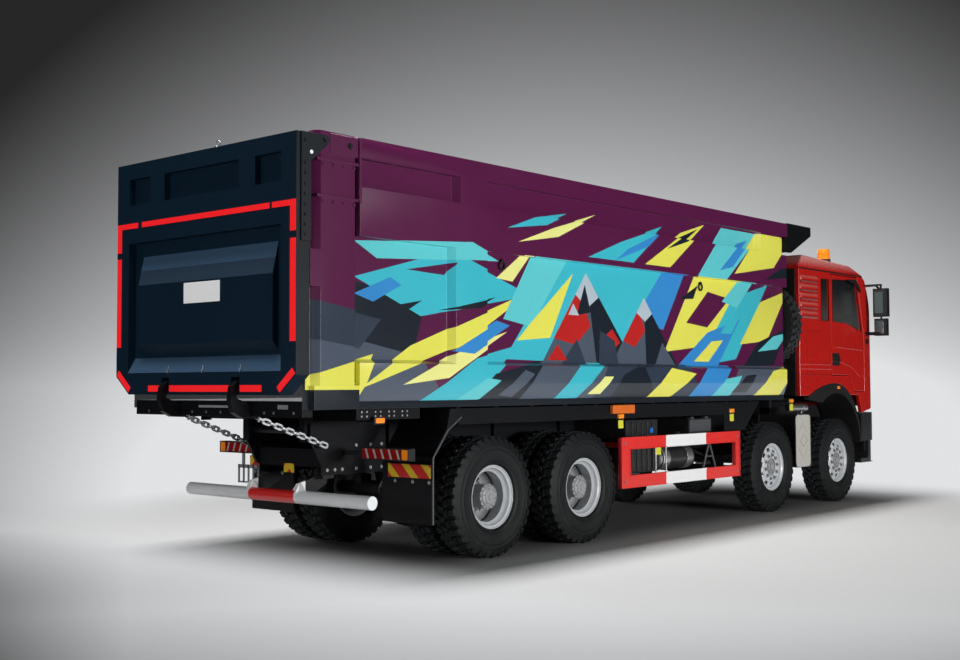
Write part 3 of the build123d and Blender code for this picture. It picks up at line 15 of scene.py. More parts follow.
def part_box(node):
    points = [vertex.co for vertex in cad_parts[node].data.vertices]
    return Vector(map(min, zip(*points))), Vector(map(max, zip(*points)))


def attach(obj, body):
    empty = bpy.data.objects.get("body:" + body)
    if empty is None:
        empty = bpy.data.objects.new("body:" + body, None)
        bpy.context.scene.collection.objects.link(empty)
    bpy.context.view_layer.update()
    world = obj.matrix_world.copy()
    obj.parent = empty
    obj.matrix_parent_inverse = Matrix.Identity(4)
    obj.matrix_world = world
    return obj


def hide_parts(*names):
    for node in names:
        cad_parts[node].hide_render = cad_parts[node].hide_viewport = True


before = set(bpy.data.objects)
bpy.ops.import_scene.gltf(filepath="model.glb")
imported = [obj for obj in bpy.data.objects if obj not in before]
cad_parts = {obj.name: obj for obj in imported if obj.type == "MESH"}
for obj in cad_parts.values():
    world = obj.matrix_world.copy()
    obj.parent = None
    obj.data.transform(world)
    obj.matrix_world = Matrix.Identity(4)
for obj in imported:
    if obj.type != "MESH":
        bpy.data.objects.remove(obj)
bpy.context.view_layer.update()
low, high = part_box("tyres_4_right")
REAR_AXLE = (low.x + high.x) / 2
print("rearmost axle stands at x =", round(REAR_AXLE, 4))

# %% [markdown]
# All shapes are drawn from the rearmost axle, the way a workshop measures a chassis, and
# `finish_piece` slides them by REAR_AXLE at the end, so the object stays at the origin. Most
# shapes are a box, a round rod, a slab from an outline or a turned profile.

# %% Small shape helpers
BACK, RIGHT, UP = (-1, 0, 0), (0, -1, 0), (0, 0, 1)
SIDES = (("right", -1), ("left", 1))
FOLD_ANGLE, FLAT_ANGLE = 30.0, 1.0
SAME_POINT, SAME_CORNER = 0.00002, 0.00005


def verts_of(geom):
    return [part for part in geom if isinstance(part, bmesh.types.BMVert)]


def add_box(bm, x0, x1, y0, y1, z0, z1):
    """A box between two opposite corners."""
    made = bmesh.ops.create_cube(bm, size=1.0)["verts"]
    bmesh.ops.scale(bm, vec=(abs(x1 - x0), abs(y1 - y0), abs(z1 - z0)), verts=made)
    bmesh.ops.translate(bm, vec=((x0 + x1) / 2, (y0 + y1) / 2, (z0 + z1) / 2), verts=made)
    return made


def add_rod(bm, start, end, radius, end_radius=None, segments=16):
    """A round rod or cone between two points."""
    start, end = Vector(start), Vector(end)
    along = end - start
    last = radius if end_radius is None else end_radius
    made = bmesh.ops.create_cone(bm, cap_ends=True, segments=segments, radius1=radius,
                                 radius2=last, depth=along.length)["verts"]
    turn = along.to_track_quat("Z", "Y").to_matrix().to_4x4()
    bmesh.ops.transform(bm, matrix=Matrix.Translation((start + end) / 2) @ turn, verts=made)
    return made


def add_slab(bm, corners, depth):
    """A flat outline pulled out along a vector."""
    base = [bm.verts.new(corner) for corner in corners]
    top = verts_of(bmesh.ops.extrude_face_region(bm, geom=[bm.faces.new(base)])["geom"])
    bmesh.ops.translate(bm, vec=depth, verts=top)
    return base + top


def add_turned(bm, profile, centre, axis, steps):
    """A profile of (radius, distance along the axis) turned into a closed ring or disc."""
    centre, axis = Vector(centre), Vector(axis).normalized()
    side = axis.orthogonal().normalized()
    verts = [bm.verts.new(centre + side * r + axis * t) for r, t in profile]
    edges = [bm.edges.new(pair) for pair in zip(verts, verts[1:])]
    before = set(bm.verts)
    bmesh.ops.spin(bm, geom=verts + edges, cent=centre, axis=axis, angle=2 * pi, steps=steps,
                   use_merge=True, use_duplicate=False)
    made = verts + [v for v in bm.verts if v not in before]
    bmesh.ops.remove_doubles(bm, verts=made, dist=SAME_POINT)


def copies_round(bm, verts, centre, axis, count):
    """Repeats a shape at equal steps round an axis."""
    geom = list(verts) + list({e for v in verts for e in v.link_edges})
    geom += list({f for v in verts for f in v.link_faces})
    for k in range(1, count):
        moved = verts_of(bmesh.ops.duplicate(bm, geom=geom)["geom"])
        bmesh.ops.rotate(bm, verts=moved, cent=centre,
                         matrix=Matrix.Rotation(2 * pi * k / count, 3, axis))


def mirror_left(bm):
    """Adds the left-hand copy of a right-hand shape."""
    bmesh.ops.mirror(bm, geom=bm.verts[:] + bm.edges[:] + bm.faces[:], axis="Y", merge_dist=-1)


def link_object(name, data):
    made = bpy.data.objects.new(name, data)
    bpy.context.collection.objects.link(made)
    return made


def finish_piece(bm, name, body, finish, replaces=(), smooth=40.0, bevel=0.0):
    """Turns the drawn shape into an object that rides on a body, its hard folds rounded."""
    bmesh.ops.recalc_face_normals(bm, faces=bm.faces)
    bmesh.ops.translate(bm, vec=(REAR_AXLE, 0, 0), verts=bm.verts)
    mesh = bpy.data.meshes.new(name)
    bm.to_mesh(mesh)
    bm.free()
    piece = link_object(name, mesh)
    for material in finish if isinstance(finish, list) else [finish]:
        mesh.materials.append(material)
    mesh.polygons.foreach_set("use_smooth", [smooth > 0] * len(mesh.polygons))
    if smooth > 0:
        mesh.set_sharp_from_angle(angle=radians(smooth))
    if bevel > 0:
        rounding = piece.modifiers.new("edge rounding", "BEVEL")
        rounding.width, rounding.segments = bevel, 3
        rounding.limit_method, rounding.angle_limit = "ANGLE", radians(FOLD_ANGLE)
        rounding.harden_normals = rounding.use_clamp_overlap = True
    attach(piece, body)
    if replaces:
        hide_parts(*replaces)
    print(name, "has", len(mesh.polygons), "faces")


print("helpers ready")

# %% [markdown]
# Where sheet metal should catch the light on its folds, a copy of a node's mesh has its flat
# triangles dissolved into panels and its folds rounded. The copy then stands for the node.

# %% Copies of frame pieces with rounded folds
def node_copy(node):
    """A frame node's mesh, its flat triangles joined into panels, set on the rearmost axle."""
    bm = bmesh.new()
    bm.from_mesh(bpy.data.objects[node].data)
    bmesh.ops.remove_doubles(bm, verts=bm.verts, dist=SAME_CORNER)
    bmesh.ops.dissolve_limit(bm, angle_limit=radians(FLAT_ANGLE), verts=bm.verts,
                             edges=[e for e in bm.edges if len(e.link_faces) == 2])
    bmesh.ops.translate(bm, vec=(-REAR_AXLE, 0, 0), verts=bm.verts)
    return bm


def paint_faces(bm, test):
    """Gives each face the number of the finish that a test of its middle returns."""
    for face in bm.faces:
        face.material_index = int(test(face.calc_center_median()))


def panel(node, body, finish, width, bm=None, smooth=40.0):
    """A copy of a frame node with its edges rounded, standing for that node."""
    finish_piece(bm or node_copy(node), node + "_panel", body, finish,
                 replaces=(node,), bevel=width, smooth=smooth)


# %% [markdown]
# The camera stands behind the truck on its right-hand side, a little above the wheels' tops,
# and looks very slightly up. Its angles come from yaw, pitch and a hair of roll.

# %% Camera
CAMERA_PLACE = (-8.7855, -8.7420, 1.5911)
CAMERA_YAW, CAMERA_PITCH, CAMERA_ROLL = 41.123, 2.555, -0.177
SENSOR, FOCAL_PIXELS, PICTURE_WIDTH = 36.0, 1245.085, 960.0
camera = link_object("camera", bpy.data.cameras.new("camera"))
camera.location = Vector(CAMERA_PLACE) + Vector((REAR_AXLE, 0, 0))
camera.rotation_euler = (
    Matrix.Rotation(radians(CAMERA_YAW - 90), 3, "Z")
    @ Matrix.Rotation(radians(90 + CAMERA_PITCH), 3, "X")
    @ Matrix.Rotation(radians(CAMERA_ROLL), 3, "Z")
).to_euler()
camera.data.sensor_width = SENSOR
camera.data.lens = SENSOR * FOCAL_PIXELS / PICTURE_WIDTH
camera.data.clip_end = 300.0
bpy.context.scene.camera = camera
bpy.context.scene.view_settings.view_transform = "Standard"
print("camera lens is", round(camera.data.lens, 2), "mm")

# %% [markdown]
# `Shader` wraps a network of nodes, and `Value` wraps an output in it, so that the cells
# below read like sums: `height * 2 + 1` makes two nodes.

# %% Shader helpers
class Value:
    """An output of a network that can be reckoned with like a number."""

    def __init__(self, net, socket):
        self.net, self.socket = net, socket

    def reckon(self, operation, other=0.0):
        return self.net.math(operation, self, other)

    def reckon_back(self, operation, other):
        return self.net.math(operation, other, self)

    __add__, __radd__ = partialmethod(reckon, "ADD"), partialmethod(reckon_back, "ADD")
    __sub__, __rsub__ = partialmethod(reckon, "SUBTRACT"), partialmethod(reckon_back, "SUBTRACT")
    __mul__, __truediv__ = partialmethod(reckon, "MULTIPLY"), partialmethod(reckon, "DIVIDE")
    __pow__, __abs__ = partialmethod(reckon, "POWER"), partialmethod(reckon, "ABSOLUTE")
    __gt__, __lt__ = partialmethod(reckon, "GREATER_THAN"), partialmethod(reckon, "LESS_THAN")
    at_least, at_most = partialmethod(reckon, "MAXIMUM"), partialmethod(reckon, "MINIMUM")

    def ramp(self, low, high):
        """0 below low, 1 above high, smooth between."""
        return self.net.take("MapRange", {0: self, 1: low, 2: high, 3: 0.0, 4: 1.0},
                             interpolation_type="SMOOTHSTEP", clamp=True)


class Shader:
    """A material's or a group's node network."""

    def __init__(self, tree):
        self.tree = tree

    def join(self, value, socket):
        """Links an output to a socket, or writes a number, vector or colour there."""
        if isinstance(value, Value):
            self.tree.links.new(value.socket, socket)
        elif socket.type == "RGBA":
            socket.default_value = (*value[:3], 1)
        else:
            socket.default_value = value

    def fill(self, node, inputs):
        for key, value in inputs.items():
            self.join(value, node.inputs[key])

    def node(self, kind, inputs=None, **settings):
        made = self.tree.nodes.new("ShaderNode" + kind)
        for key, value in settings.items():
            setattr(made, key, value)
        self.fill(made, inputs or {})
        return made

    def take(self, kind, inputs=None, out=0, **settings):
        """Places a node and takes one of its outputs."""
        return Value(self, self.node(kind, inputs, **settings).outputs[out])

    def group(self, name, **inputs):
        """Places a node group, its inputs written in small letters, and takes its outputs."""
        made = self.node("Group", {key.capitalize(): value for key, value in inputs.items()},
                         node_tree=bpy.data.node_groups[name])
        return {socket.name: Value(self, socket) for socket in made.outputs}

    def math(self, operation, a, b=0.0, clamp=False):
        return self.take("Math", {0: a, 1: b}, operation=operation, use_clamp=clamp)

    def vector(self, operation, a, b=(0, 0, 0), out=0):
        return self.take("VectorMath", {0: a, 1: b}, out, operation=operation)

    def dot(self, a, b):
        return self.vector("DOT_PRODUCT", a, b, "Value")

    def part(self, vector, letter):
        return self.take("SeparateXYZ", {0: vector}, letter)

    def coords(self, kind="Object"):
        return self.take("TexCoord", out=kind)

    def noise(self, place, scale, **inputs):
        named = {key.capitalize(): value for key, value in inputs.items()}
        return self.take("TexNoise", {"Vector": place, "Scale": scale, **named})

    def mix(self, factor, a, b):
        return self.take("Mix", {0: factor, 6: a, 7: b}, 2, data_type="RGBA")


def new_group(name, inputs, outputs):
    """A node group's network, its inputs as values, and the node that takes its results."""
    tree = bpy.data.node_groups.new(name, "ShaderNodeTree")
    for label, value in inputs.items():
        kind = {3: "Vector", 4: "Color"}[len(value)] if isinstance(value, tuple) else "Float"
        socket = tree.interface.new_socket(label, in_out="INPUT", socket_type="NodeSocket" + kind)
        socket.default_value = value
    for label in outputs.split():
        kind = "NodeSocketColor" if label == "Color" else "NodeSocketFloat"
        tree.interface.new_socket(label, in_out="OUTPUT", socket_type=kind)
    net = Shader(tree)
    inside, ends = tree.nodes.new("NodeGroupInput"), tree.nodes.new("NodeGroupOutput")
    return net, {socket.name: Value(net, socket) for socket in inside.outputs}, ends


def new_material(name):
    """A material, its network and its Principled shader."""
    material = bpy.data.materials.new(name)
    material.use_nodes = True
    net = Shader(material.node_tree)
    return material, net, net.tree.nodes["Principled BSDF"]


print("shader helpers ready")

# %% [markdown]
# Four effects are shared. "Place" gives a point's position measured from the rearmost axle,
# "Paint skin" the faint cloudiness and orange peel of sprayed paint, "Road film" a dusty film
# that thickens towards the ground, and "Grain" the pebbled skin of plastic and rubber.

# %% Shared shader groups
DUST = (0.30, 0.27, 0.23)

net, given, ends = new_group("Place", {}, "X Y Z")
moved = net.vector("ADD", net.coords(), (-REAR_AXLE, 0, 0))
net.fill(ends, {letter: net.part(moved, letter) for letter in "XYZ"})

net, given, ends = new_group(
    "Paint skin", {"Color": (0.5, 0.5, 0.5, 1), "Cloud": 0.08, "Roughness": 0.3},
    "Color Roughness Height")
place = net.coords()
shift = (net.noise(place, 1.7, detail=5.0) - 0.5) * given["Cloud"]
tinted = net.take("VectorMath", {0: given["Color"], "Scale": 1.0 + shift}, operation="SCALE")
net.fill(ends, {"Color": tinted, "Roughness": given["Roughness"] + shift * 0.8,
                "Height": net.noise(place, 260.0, detail=2.0)})

net, given, ends = new_group(
    "Road film", {"Color": (0.1, 0.1, 0.1, 1), "Roughness": 0.5, "Amount": 0.3, "Top": 1.2},
    "Color Roughness")
place = net.coords()
fall = net.math("SUBTRACT", 1.0, net.part(place, "Z") / given["Top"], clamp=True)
patch = net.noise(place, 9.0, detail=8.0).ramp(0.35, 0.75)
film = fall * patch * given["Amount"]
net.fill(ends, {"Color": net.mix(film, given["Color"], DUST),
                "Roughness": given["Roughness"] + film * 0.35})

net, given, ends = new_group("Grain", {"Scale": 300.0}, "Height")
net.fill(ends, {"Height": net.take("TexVoronoi", {"Vector": net.coords(),
                                                  "Scale": given["Scale"]}, "Distance")})
print("shared groups:", [g.name for g in bpy.data.node_groups])

# %% [markdown]
# A finish is sprayed paint, moulded plastic, bare metal, or glass. Uniform values are set on
# the shader itself. A colour may also be a function that draws it in the finish's network.

# %% Finishes
BUMP_DEPTH = 0.001
BLACK = (0, 0, 0)


def base_colour(net, colour):
    return colour(net) if callable(colour) else colour


def bump(net, height, strength):
    return net.take("Bump", {"Height": height, "Strength": strength, "Distance": BUMP_DEPTH})


def weather(net, shader, colour, roughness, film, top, height, strength):
    """Lays road film over a finish and gives its surface some relief."""
    dusty = net.group("Road film", color=colour, roughness=roughness, amount=film, top=top)
    net.fill(shader, {"Base Color": dusty["Color"], "Roughness": dusty["Roughness"],
                      "Normal": bump(net, height, strength)})


def paint(name, colour, roughness, coat, film=0.0, cloud=0.12, top=1.3, specular=0.5, glow=0.0):
    """Sprayed paint."""
    material, net, shader = new_material(name)
    skin = net.group("Paint skin", color=base_colour(net, colour), cloud=cloud,
                     roughness=roughness)
    weather(net, shader, skin["Color"], skin["Roughness"], film, top, skin["Height"], 0.04)
    net.fill(shader, {"Coat Weight": coat, "Coat Roughness": 0.12,
                      "Specular IOR Level": specular, "Emission Strength": glow,
                      "Emission Color": BLACK if callable(colour) else colour})
    return material


def plastic(name, colour, roughness, film=0.0, grain=350.0, top=1.3, specular=0.3):
    """Moulded plastic or rubber with a pebbled skin."""
    material, net, shader = new_material(name)
    skin = net.group("Grain", scale=grain)
    weather(net, shader, colour, roughness, film, top, skin["Height"], 0.15)
    net.fill(shader, {"Specular IOR Level": specular})
    return material


def metal(name, colour, roughness, scratch, film=0.2):
    """Bare, galvanised or plated metal with fine brushed scratches."""
    material, net, shader = new_material(name)
    lines = net.noise(net.coords(), 120.0, detail=6.0)
    weather(net, shader, colour, roughness + lines * scratch, film, 1.2, lines, 0.08)
    net.fill(shader, {"Metallic": 1.0})
    return material


def glassy(name, colour, roughness, alpha=1.0, lens=0.0, glow=0.0):
    """Dark tinted glass or a lamp lens; `lens` sets how deeply its prisms are moulded."""
    material, net, shader = new_material(name)
    place = net.coords()
    waves = net.take("TexWave", {"Vector": place, "Scale": 60.0, "Distortion": 0.0})
    flat = BLACK if callable(colour) else colour
    bright = colour(net) if callable(colour) else [c * 1.4 for c in colour]
    net.fill(shader, {"Base Color": net.mix(net.noise(place, 3.0) * 0.2,
                                            base_colour(net, colour), bright),
                      "Roughness": roughness, "Alpha": alpha, "Coat Weight": 0.6,
                      "Emission Color": flat, "Emission Strength": glow,
                      "Normal": bump(net, waves, lens)})
    return material


def window_painted_reflection(net):
    """Smoked glass with a painted reflection: darker towards the top of a window, paler below."""
    height = net.group("Place")["Z"]
    return net.mix(height.ramp(2.35, 3.00), (0.060, 0.060, 0.058), (0.008, 0.009, 0.010))


def facing_up(net):
    """How far a surface of the resting piece looks up: 1 up, 0 level, -1 down."""
    return net.part(net.coords("Normal"), "Z")


def rib_painted_sheen_and_shade(net):
    """Painted sheen and shade: red that pales on the upper half of a soft rib and deepens on the
    lower half.
    """
    rise = facing_up(net)
    base = net.mix(rise.ramp(-0.10, 0.60), CAB_RED, (0.56, 0.12, 0.10))
    return net.mix((rise * -1.0).ramp(-0.05, 0.60), base, (0.15, 0.003, 0.003))


def roof_painted_sheen(net):
    """Painted sheen: red that pales to rose towards the top of the roof's rounded edge."""
    return net.mix(net.group("Place")["Z"].ramp(3.12, 3.27), CAB_RED, (0.56, 0.21, 0.20))


def gate_painted_sheen(net):
    """Navy with a painted sheen, paler in two steps where the panel's folds look up to the light.
    """
    height = net.group("Place")["Z"]
    fold = net.mix((height > 2.2) * (height < 2.632), (0.045, 0.090, 0.155), (0.027, 0.048, 0.080))
    return net.mix(facing_up(net).ramp(0.10, 0.20), (0.0042, 0.0160, 0.0315), fold)


CAB_RED = (0.44, 0.0085, 0.006)
RED_PAINT = paint("cab red", CAB_RED, 0.28, 0.35, cloud=0.10, specular=0.4)
RIB_PAINTED_SHEEN_AND_SHADE = paint("rib red painted sheen and shade", rib_painted_sheen_and_shade, 0.30, 0.3, specular=0.4)
ROOF_RED_PAINTED_SHEEN = paint("roof red painted sheen", roof_painted_sheen, 0.28, 0.35, specular=0.4)
BUMPER_PAINT = paint("bumper black", (0.012, 0.012, 0.013), 0.38, 0.3, 0.05)
CHASSIS = paint("chassis black", (0.0045, 0.005, 0.0065), 0.45, 0.0, 0.02, specular=0.16)
CASTING = paint("casting black", (0.0055, 0.006, 0.007), 0.55, 0.0, 0.05, top=1.0, specular=0.3)
NAVY_PAINTED_SHEEN = paint("navy black painted sheen", gate_painted_sheen, 0.46, 0.0, cloud=0.2, specular=0.12)
BED_INSIDE = paint("bed inside", (0.075, 0.075, 0.08), 0.6, 0.0, cloud=0.5)
WHEEL_SILVER = paint("wheel silver", (0.52, 0.54, 0.56), 0.32, 0.3, 0.12, top=1.2)
# Rear discs are a darker grey than the rims: painted shade for their deep dish.
DISC_GREY_PAINTED_SHADE = paint("disc grey painted shade", (0.26, 0.27, 0.28), 0.38, 0.2, 0.2, top=1.2)
HUB_GREY = paint("hub grey", (0.26, 0.27, 0.28), 0.45, 0.1, 0.25, top=1.2)
WHITE_PAINT = paint("guard white", (0.80, 0.80, 0.80), 0.35, 0.4, 0.10)
# The red strips glow a little though they are no lamp: painted light.
STRIPE_RED_PAINTED_GLOW = paint("stripe red painted glow", (0.80, 0.012, 0.016), 0.35, 0.2, glow=0.45)
TANK_BLACK = paint("tank black", (0.012, 0.0125, 0.014), 0.40, 0.2, 0.08)
SLATE_PAINT = paint("slate plate", (0.007, 0.010, 0.014), 0.42, 0.1, specular=0.25)
YELLOW_PAINT = paint("bracket yellow", (0.62, 0.60, 0.04), 0.40, 0.2, 0.05)
CREAM = paint("shield cream", (0.46, 0.45, 0.41), 0.42, 0.2, 0.10)
# The blank plate and the white mark glow a little: painted light.
PLATE_WHITE_PAINTED_GLOW = paint("blank plate", (0.86, 0.86, 0.87), 0.35, 0.3, glow=0.12)
BOX_GREY = paint("box grey", (0.055, 0.058, 0.064), 0.45, 0.1, 0.05)
SILVER = metal("tank silver", (0.62, 0.63, 0.64), 0.32, 0.15)
STEEL = metal("bare steel", (0.42, 0.42, 0.43), 0.38, 0.2, film=0.3)
CHAIN_STEEL = metal("chain steel", (0.30, 0.31, 0.32), 0.42, 0.15, film=0.0)
CHROME = metal("ram chrome", (0.80, 0.80, 0.82), 0.10, 0.02, film=0.0)
BLACK_PLASTIC = plastic("black plastic", (0.009, 0.009, 0.0095), 0.5, 0.05)
SOFT_TRIM = plastic("cab trim", (0.035, 0.035, 0.038), 0.8, grain=700.0)
SEAL = plastic("window seal", (0.008, 0.008, 0.008), 0.6, grain=500.0)
ORANGE = plastic("chock orange", (0.62, 0.13, 0.015), 0.45, 0.1)
BLUE_CAP = plastic("cap blue", (0.02, 0.13, 0.50), 0.40)
RUBBER = plastic("tyre rubber", (0.0045, 0.0055, 0.0062), 0.60, 0.03, 420.0, 1.15, 0.22)
# The paler tread is partly scuffed rubber, partly painted light that the treads catch.
TREAD_RUBBER_WEAR_AND_SHEEN = plastic("tread rubber wear and painted sheen", (0.022, 0.025, 0.027), 0.60, 0.03, 420.0, 1.15)
GLASS = glassy("tinted glass painted reflection", window_painted_reflection, 0.03, alpha=0.95)
PALE_GLASS = glassy("mirror glass", (0.055, 0.070, 0.072), 0.06)
RED_LENS = glassy("red lens", (0.26, 0.006, 0.005), 0.12, lens=0.4, glow=0.03)
AMBER_LENS = glassy("amber lens", (0.85, 0.24, 0.012), 0.12, lens=0.4, glow=0.12)
CLEAR_LENS = glassy("clear lens", (0.42, 0.40, 0.40), 0.08, lens=0.4)
print("finishes:", len(bpy.data.materials))

# %% [markdown]
# The floor is a broad, pale, matt disc. Close to the truck it is really lit and keeps the
# soft shadow, and under the truck its colour is darkened as a painted shadow. Far away, and
# just behind the truck, it fades into the grey glowing gradient of the world, so no horizon
# shows; behind the truck that glow is painted light over the real shadow. The gradient
# depends on direction only: brightest low behind the truck, darker up, down and sideways,
# a painted falloff of studio light.

# %% Studio backdrop and floor
BACK_YAW = radians(CAMERA_YAW - 3.5)
MIDDLE_GREY, BRIGHTEST, DARKEST = 1.01, 0.88, 0.17
SIDE_FALL, TOP_FALL = 1.9, 2.05
DIP_START, DIP_FALL = -0.17, 2.9
GAMMA = 2.2
PLAIN_LIGHT = 0.04
FLOOR_RADIUS = 130.0
PAINTED_SHADOW_WIDTH, PAINTED_SHADOW_LENGTH = (0.7, 1.6), (4.6, 5.8)
FADE_START, FADE_END = 4.4, 7.8
BEHIND_START, BEHIND_END = 0.4, 2.4

net, given, ends = new_group("Studio gradient", {"Direction": (0, 1, 0)}, "Color")
ahead = net.dot(given["Direction"], (cos(BACK_YAW), sin(BACK_YAW), 0))
aside = net.dot(given["Direction"], (sin(BACK_YAW), -cos(BACK_YAW), 0))
rise = net.part(given["Direction"], "Z")
sweep = aside / ahead.at_least(0.3)
edge = sweep * sweep * SIDE_FALL
haze = 1.0 - rise.ramp(-0.09, 0.06)
level = MIDDLE_GREY - edge - rise.at_least(0.0) * TOP_FALL + haze * 0.10
level = level.at_most(BRIGHTEST).at_least(DARKEST)
below = 1.0 - rise.ramp(-0.16, -0.10)
level = level - (edge * 0.50 + 0.02) * below - (DIP_START - rise).at_least(0.0) * DIP_FALL
grey = level ** GAMMA
net.fill(ends, {"Color": net.take("CombineColor", {0: grey, 1: grey * 1.01, 2: grey * 1.03})})


def seen_ray(net):
    """1 for rays that look: from the camera, off a gloss or through glass."""
    path = net.node("LightPath").outputs
    camera, glossy, through = (Value(net, path[f"Is {kind} Ray"])
                               for kind in ("Camera", "Glossy", "Transmission"))
    return camera.at_least(glossy).at_least(through)


world = bpy.data.worlds.new("studio")
bpy.context.scene.world = world
world.use_nodes = True
net = Shader(world.node_tree)
plain = net.tree.nodes["Background"]
net.fill(plain, {"Color": (1, 1, 1), "Strength": PLAIN_LIGHT})
shown = net.group("Studio gradient", direction=net.coords("Generated"))
seen = net.take("Background", {"Color": shown["Color"], "Strength": 1.0})
picks = net.take("MixShader", {0: seen_ray(net), 1: Value(net, plain.outputs[0]), 2: seen})
net.fill(net.tree.nodes["World Output"], {"Surface": picks})

floor_finish, net, shader = new_material("studio floor")
place = net.coords()
pale = net.mix(net.noise(place, 0.6, detail=4.0), (0.345, 0.345, 0.343), (0.365, 0.365, 0.362))
x, y = net.part(place, "X"), net.part(place, "Y")
# Painted shadow: the floor's colour is darkened under the truck.
painted_shadow = (1.0 - abs(y).ramp(*PAINTED_SHADOW_WIDTH)) * (1.0 - abs(x).ramp(*PAINTED_SHADOW_LENGTH)) * 0.75
net.fill(shader, {"Base Color": net.mix(painted_shadow, pale, (0.03, 0.03, 0.03)), "Roughness": 0.75,
                  "Specular IOR Level": 0.06})
eye = (CAMERA_PLACE[0] + REAR_AXLE, *CAMERA_PLACE[1:])
way = net.vector("NORMALIZE", net.vector("SUBTRACT", place, eye))
far = net.vector("LENGTH", net.vector("SUBTRACT", place, (REAR_AXLE + 3.3, 0, 0)), out="Value")
shown = net.group("Studio gradient", direction=way)
glow = net.take("Emission", {"Color": shown["Color"], "Strength": 1.0})
# Far off and just behind the truck the floor shows the glowing gradient: painted light that lifts
# the shadow behind the truck.
fade = far.ramp(FADE_START, FADE_END).at_least((REAR_AXLE - x).ramp(BEHIND_START, BEHIND_END))
fade = fade * seen_ray(net)
blend = net.take("MixShader", {0: fade, 1: Value(net, shader.outputs[0]), 2: glow})
net.fill(net.tree.nodes["Material Output"], {"Surface": blend})

bm = bmesh.new()
bmesh.ops.create_circle(bm, cap_ends=True, segments=96, radius=FLOOR_RADIUS)
floor = link_object("studio_floor", bpy.data.meshes.new("studio_floor"))
bm.to_mesh(floor.data)
bm.free()
floor.data.materials.append(floor_finish)
print("floor and backdrop ready")

# %% [markdown]
# A long narrow lamp overhead throws a crisp shadow straight down, a broad low one far off on
# either side lights the flanks without a glare, and a weak one lights the back.

# %% Lamps
LAMPS = [
    # name, place, aimed at, size x, size y, watts
    ("overhead", (1.6, 0.15, 10.0), (1.6, 0.15, 0.0), 13.0, 1.3, 2500.0),
    ("right side", (1.5, -18.0, 2.3), (2.0, 0.0, 1.9), 8.0, 2.4, 2500.0),
    ("left side", (1.5, 18.0, 2.3), (2.0, 0.0, 1.9), 8.0, 2.4, 1500.0),
    ("rear", (-13.0, -1.5, 3.0), (-2.0, 0.0, 1.6), 6.0, 2.4, 330.0),
]
for name, place, target, width, height, watts in LAMPS:
    lamp = link_object(name, bpy.data.lights.new(name, "AREA"))
    lamp.data.shape = "RECTANGLE"
    lamp.data.size, lamp.data.size_y, lamp.data.energy = width, height, watts
    lamp.location = Vector(place) + Vector((REAR_AXLE, 0, 0))
    lamp.rotation_euler = (Vector(target) - Vector(place)).to_track_quat("-Z", "Y").to_euler()
print("lamps:", [row[0] for row in LAMPS])

# %% [markdown]
# The bed's sides are plum with an angular pattern: a faceted mountain with slivers of cyan,
# yellow and blue around it over a slate-coloured foot. The shader draws it. Every shape has
# at most four sides, and a node group tests on which side of each line a point lies.

# %% Shape mask
names = ["Point"] + [f"Side {n}" for n in range(1, 5)]
net, given, ends = new_group("Shape", {name: (0, 0, 1) for name in names}, "Mask")
depth = net.dot(given["Point"], given["Side 1"])
for name in names[2:]:
    depth = depth.at_most(net.dot(given["Point"], given[name]))
net.fill(ends, {"Mask": depth > 0.0})


def side_lines(outline):
    """A line (a, b, c) with a x + b z + c above zero inside, for each side of an outline."""
    pairs = list(zip(outline, outline[1:] + outline[:1]))
    turn = sum(x0 * z1 - x1 * z0 for (x0, z0), (x1, z1) in pairs)
    sign = 1 if turn > 0 else -1
    lines = [(sign * (z0 - z1), sign * (x1 - x0), sign * (x0 * z1 - x1 * z0))
             for (x0, z0), (x1, z1) in pairs]
    return lines + lines[:4 - len(lines)]


def lay_shapes(net, base, shapes):
    """Lays flat-coloured shapes over a colour, in the side's own plane."""
    place = net.group("Place")
    point = net.take("CombineXYZ", {0: place["X"], 1: place["Z"], 2: 1.0})
    for colour, outline in shapes:
        mask = net.group("Shape", point=point, **dict(zip(names[1:], side_lines(outline))))
        base = net.mix(mask["Mask"], base, colour)
    return base


print("shape mask ready")

